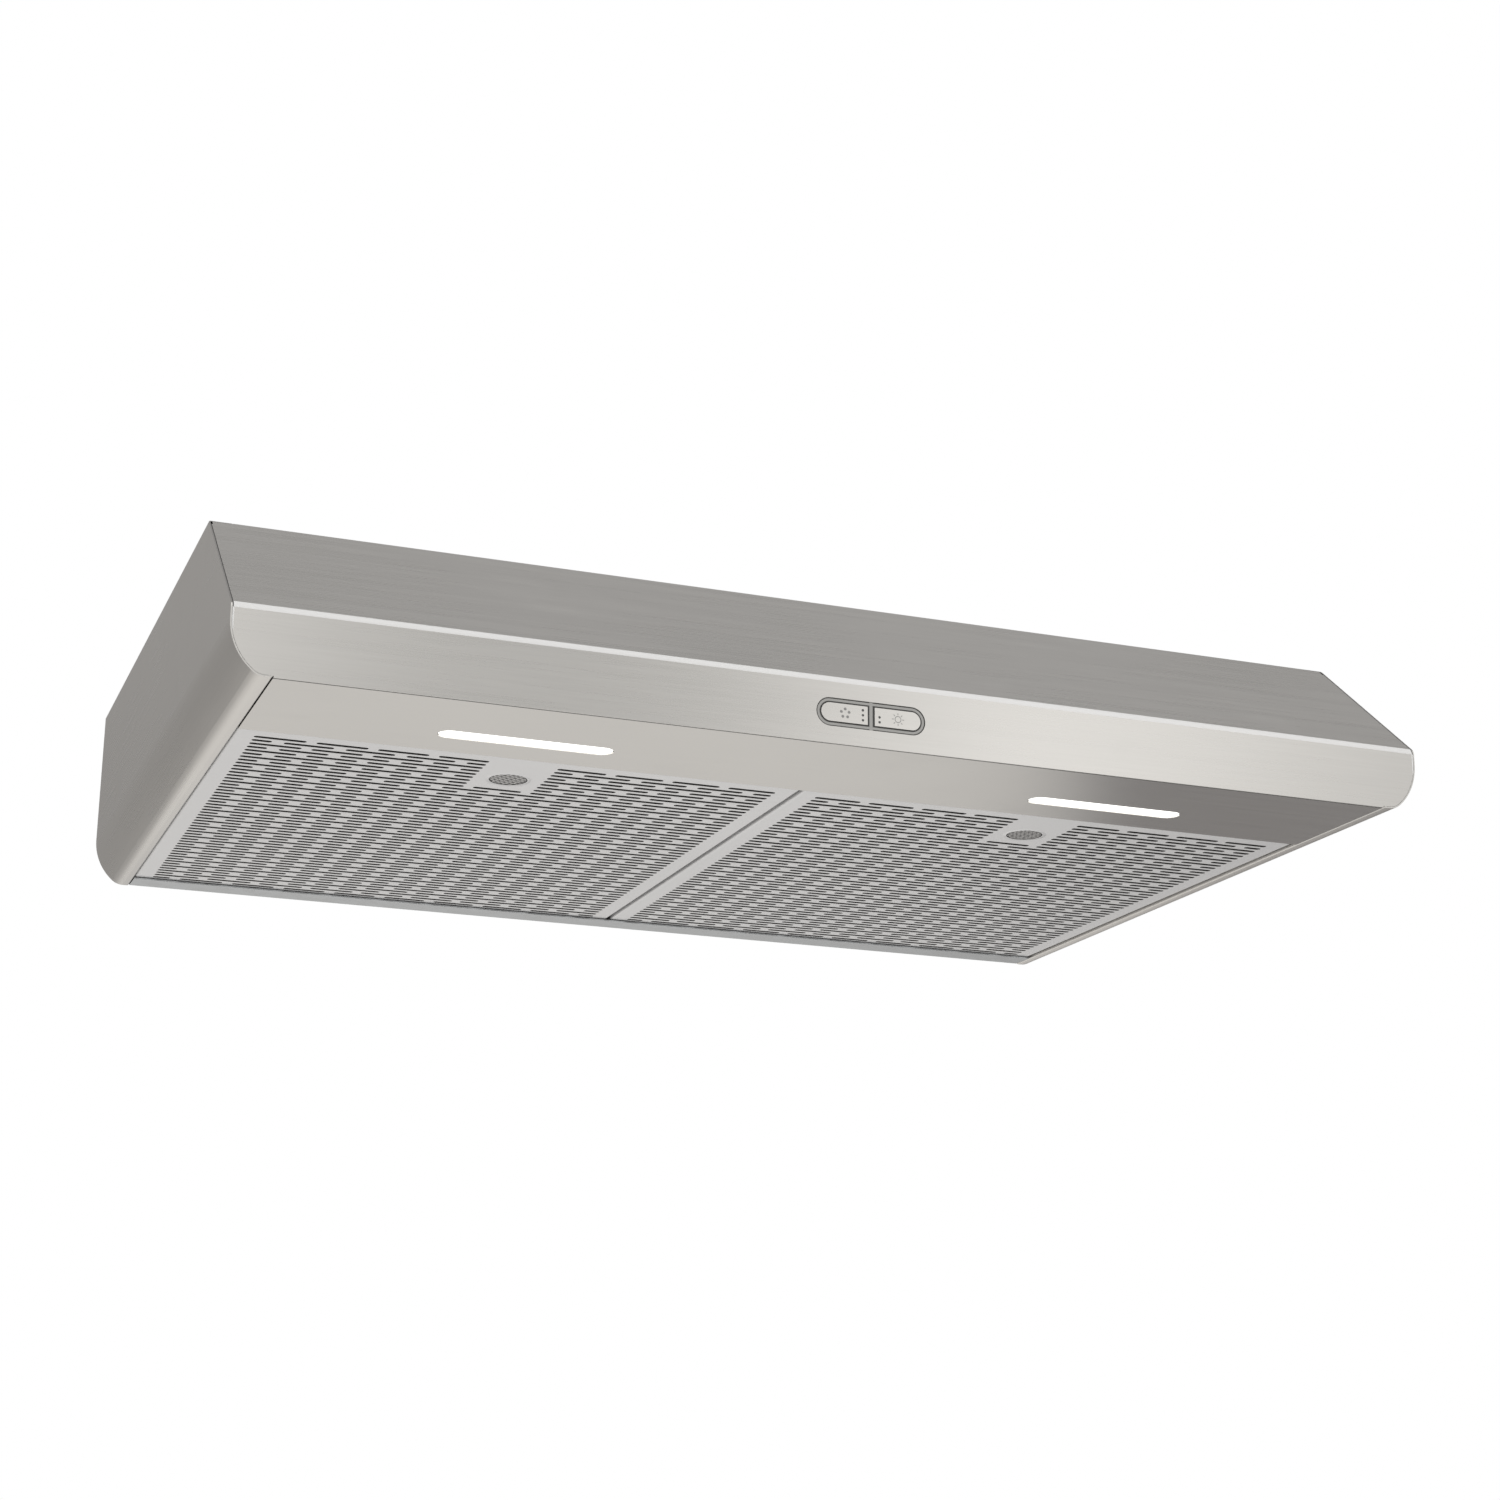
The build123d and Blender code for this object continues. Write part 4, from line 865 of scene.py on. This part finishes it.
class HOOD_OT_blower(bpy.types.Operator):
    """Finish the blower, its wheel and motor, and the duct collar with its damper"""

    bl_idname = "hood.blower"
    bl_label = "Blower and duct"

    def execute(self, context):
        steel = context.scene.hood_steel
        housing = zinc_sheet("zinc_blower", shaded(steel.zinc, 0.95), steel.spangle)
        dress(housing, "blower_housing", "blower_cover", "blower_hangers")
        dress(housing, "duct_collar", "damper_flap")
        dress(plain_metal("wheel_zinc", (0.50, 0.515, 0.53), 0.36), "blower_wheel")
        dress(moulded("motor_enamel", (0.02, 0.02, 0.022), 0.3, 0.12), "blower_motor")
        dress(plain_metal("sintered_bronze", (0.42, 0.27, 0.12), 0.5), "motor_bush")
        dress(plain_metal("ground_steel", (0.60, 0.60, 0.61), 0.18), "motor_shaft", "damper_pin")
        dress(plain_metal("guard_zinc", (0.62, 0.63, 0.63), 0.28), "inlet_guard")
        return {"FINISHED"}


class HOOD_OT_wiring(bpy.types.Operator):
    """Finish the wiring box, its fittings and the sleeved leads"""

    bl_idname = "hood.wiring"
    bl_label = "Wiring"

    def execute(self, context):
        steel = context.scene.hood_steel
        trim = context.scene.hood_trim
        dress(zinc_sheet("zinc_wiring", steel.zinc, steel.spangle), "wiring_box", "wiring_cover")
        dress(moulded("bush_nylon", trim.black, 0.4), "wiring_bush")
        dress(moulded("terminal_cream", (0.62, 0.58, 0.46), 0.5), "terminal_block")
        dress(plain_metal("drawn_aluminium", (0.72, 0.73, 0.74), 0.3), "run_capacitor")
        material, tree, shader, place = new_finish("lead_sleeve")
        braid = place_effect(
            tree, diamond_net(), {"Vector": place, "Length": 1.6 * MM, "Width": 1.1 * MM}
        )["Strand"]
        feed(tree, shader, Base_Color=mottled(tree, braid, trim.black, 0.7, 2.2),
             Roughness=around(tree, braid, 0.625, -0.15), Normal=bump(tree, braid, 0.1 * MM))
        dress(material, "left_lamp_lead", "right_lamp_lead", "supply_lead")
        return {"FINISHED"}


class HOOD_OT_screws(bpy.types.Operator):
    """Finish the plated screws"""

    bl_idname = "hood.screws"
    bl_label = "Screws"

    def execute(self, context):
        plated = plain_metal("zinc_plate", (0.62, 0.62, 0.60), 0.26)
        dress(plated, "blower_cover_screws", "collar_screws", "motor_screws", "wiring_cover_screws")
        return {"FINISHED"}


class HOOD_OT_stage(bpy.types.Operator):
    """Lay the floor, paint the soft studio surroundings and place the camera"""

    bl_idname = "hood.stage"
    bl_label = "Stage"

    def execute(self, context):
        stage = context.scene.hood_stage
        self.lay_floor(context, stage)
        self.paint_surroundings(context, stage)
        self.place_camera(context, stage)
        context.scene.view_settings.view_transform = "Standard"
        return {"FINISHED"}

    def lay_floor(self, context, stage):
        """A pale floor that neither lights the hood nor shows in its steel."""
        shape = bmesh.new()
        bmesh.ops.create_grid(shape, x_segments=4, y_segments=4, size=FLOOR_REACH)
        bmesh.ops.translate(shape, vec=(0.0, 0.0, -stage.floor_drop), verts=shape.verts)
        mesh = bpy.data.meshes.new("floor")
        shape.to_mesh(mesh)
        shape.free()
        floor = bpy.data.objects.new("floor", mesh)
        context.scene.collection.objects.link(floor)
        material, tree, shader, place = new_finish("pale_floor")
        tone = mottled(tree, noise(tree, place, scale=1.2), stage.floor_colour, 0.98, 1.0)
        feed(tree, shader, Base_Color=tone, Roughness=0.8)
        mesh.materials.append(material)
        floor.visible_glossy = False
        floor.visible_diffuse = False

    def paint_surroundings(self, context, stage):
        """Soft light of a level set by direction, behind a plain white backdrop."""
        world = bpy.data.worlds.new("studio")
        context.scene.world = world
        world.use_nodes = True
        tree = world.node_tree
        tree.nodes.clear()
        ray = tree.nodes.new("ShaderNodeTexCoord").outputs["Generated"]
        along = add(tree, "ShaderNodeSeparateXYZ", {"Vector": ray}).outputs
        ahead = maths(tree, "ARCTAN2", along["X"], maths(tree, "MULTIPLY", along["Y"], -1.0))
        turn = maths(tree, "MULTIPLY_ADD", ahead, 1 / tau, 0.5)
        wall = add(tree, "ShaderNodeValToRGB", {"Fac": turn})
        self.set_stops(wall.color_ramp, WALL_STOPS)
        # behind the hood: mid grey higher up, pale low down
        upper = blend(tree, ramp(tree, along["X"], 0.25, 0.6), UPPER_LEFT, UPPER_RIGHT)
        back = blend(tree, ramp(tree, along["Z"], -0.26, -0.18), LOW_BACK, upper)
        # a dark flag behind to the right, which shades the right end of the underside
        behind = maths(tree, "SUBTRACT", pi, maths(tree, "ABSOLUTE", ahead))
        flag = band(tree, behind, radians(28.6), radians(60), radians(0.8))
        flag = maths(tree, "MULTIPLY", flag, ramp(tree, along["X"], 0.0, 0.1))
        back = blend(tree, flag, back, FLAG)
        # greyer to the left, for the side panel
        aside = fall(tree, along["X"], -0.10, 0.02)
        aside = maths(tree, "MULTIPLY", aside, ramp(tree, along["Z"], -0.36, -0.22))
        aside_tone = blend(tree, ramp(tree, along["Z"], 0.24, 0.32), ASIDE_LOW, ASIDE_HIGH)
        back = blend(tree, aside, back, aside_tone)
        # pale straight below, then the wall in front
        back = blend(tree, fall(tree, along["Z"], -0.75, -0.45), back, BELOW)
        level = blend(tree, ramp(tree, along["Y"], -0.15, 0.25), wall.outputs["Color"], back)
        for towards, inner, outer, tone in SOFT_PATCHES:
            sizes = {"Inner": radians(inner), "Outer": radians(outer)}
            patch = place_effect(tree, soft_patch(), {"Vector": ray, "Towards": towards, **sizes})
            level = blend(tree, patch["Patch"], level, tone)
        soft = add(tree, "ShaderNodeBackground", {"Color": level, "Strength": stage.studio})
        plain = {"Color": (1.0, 1.0, 1.0, 1.0), "Strength": stage.backdrop}
        white = add(tree, "ShaderNodeBackground", plain)
        seen = tree.nodes.new("ShaderNodeLightPath").outputs["Is Camera Ray"]
        mix = add(tree, "ShaderNodeMixShader", {0: seen, 1: soft.outputs[0], 2: white.outputs[0]})
        output = tree.nodes.new("ShaderNodeOutputWorld")
        tree.links.new(mix.outputs[0], output.inputs[0])

    def set_stops(self, ramp_data, stops):
        """Give a colour ramp its stops: degrees round from straight ahead, and a level."""
        while len(ramp_data.elements) > 1:
            ramp_data.elements.remove(ramp_data.elements[-1])
        for number, (degrees_round, level) in enumerate(stops):
            place = degrees_round / 360 + 0.5
            element = ramp_data.elements[0] if number == 0 else ramp_data.elements.new(place)
            element.position = place
            element.color = (*(level * tint for tint in WALL_TINT), 1.0)

    def place_camera(self, context, stage):
        """The camera, under the hood's front and to its left."""
        data = bpy.data.cameras.new("camera")
        data.lens = stage.lens
        data.sensor_width = SENSOR_WIDTH
        data.clip_start, data.clip_end = CLIP
        camera = bpy.data.objects.new("camera", data)
        context.scene.collection.objects.link(camera)
        turn = (
            Matrix.Rotation(stage.azimuth, 4, "Z")
            @ Matrix.Rotation(pi / 2 - stage.elevation, 4, "X")
            @ Matrix.Rotation(stage.roll, 4, "Z")
        )
        camera.matrix_world = Matrix.Translation(stage.camera_place) @ turn
        context.scene.camera = camera


class HOOD_PT_panel(bpy.types.Panel):
    """Buttons that finish the hood piece by piece"""

    bl_idname = "HOOD_PT_panel"
    bl_label = "Under Cabinet Hood"
    bl_space_type = "VIEW_3D"
    bl_region_type = "UI"
    bl_category = "Hood"

    def draw(self, context):
        layout = self.layout
        for operator in OPERATORS:
            layout.operator(operator.bl_idname)
        for settings in ("hood_steel", "hood_trim", "hood_stage"):
            box = layout.box()
            group = getattr(context.scene, settings)
            for name in group.__annotations__:
                box.prop(group, name)


OPERATORS = (
    HOOD_OT_case,
    HOOD_OT_filters,
    HOOD_OT_latches,
    HOOD_OT_lamps,
    HOOD_OT_controls,
    HOOD_OT_blower,
    HOOD_OT_wiring,
    HOOD_OT_screws,
    HOOD_OT_stage,
)
CLASSES = (HoodStageSettings, HoodSteelSettings, HoodTrimSettings, *OPERATORS, HOOD_PT_panel)


def register():
    for cls in CLASSES:
        bpy.utils.register_class(cls)
    bpy.types.Scene.hood_stage = PointerProperty(type=HoodStageSettings)
    bpy.types.Scene.hood_steel = PointerProperty(type=HoodSteelSettings)
    bpy.types.Scene.hood_trim = PointerProperty(type=HoodTrimSettings)


def unregister():
    del bpy.types.Scene.hood_trim
    del bpy.types.Scene.hood_steel
    del bpy.types.Scene.hood_stage
    for cls in reversed(CLASSES):
        bpy.utils.unregister_class(cls)


def main():
    register()
    bpy.ops.hood.case()
    bpy.ops.hood.filters()
    bpy.ops.hood.latches()
    bpy.ops.hood.lamps()
    bpy.ops.hood.controls()
    bpy.ops.hood.blower()
    bpy.ops.hood.wiring()
    bpy.ops.hood.screws()
    bpy.ops.hood.stage()


if __name__ == "__main__":
    main()
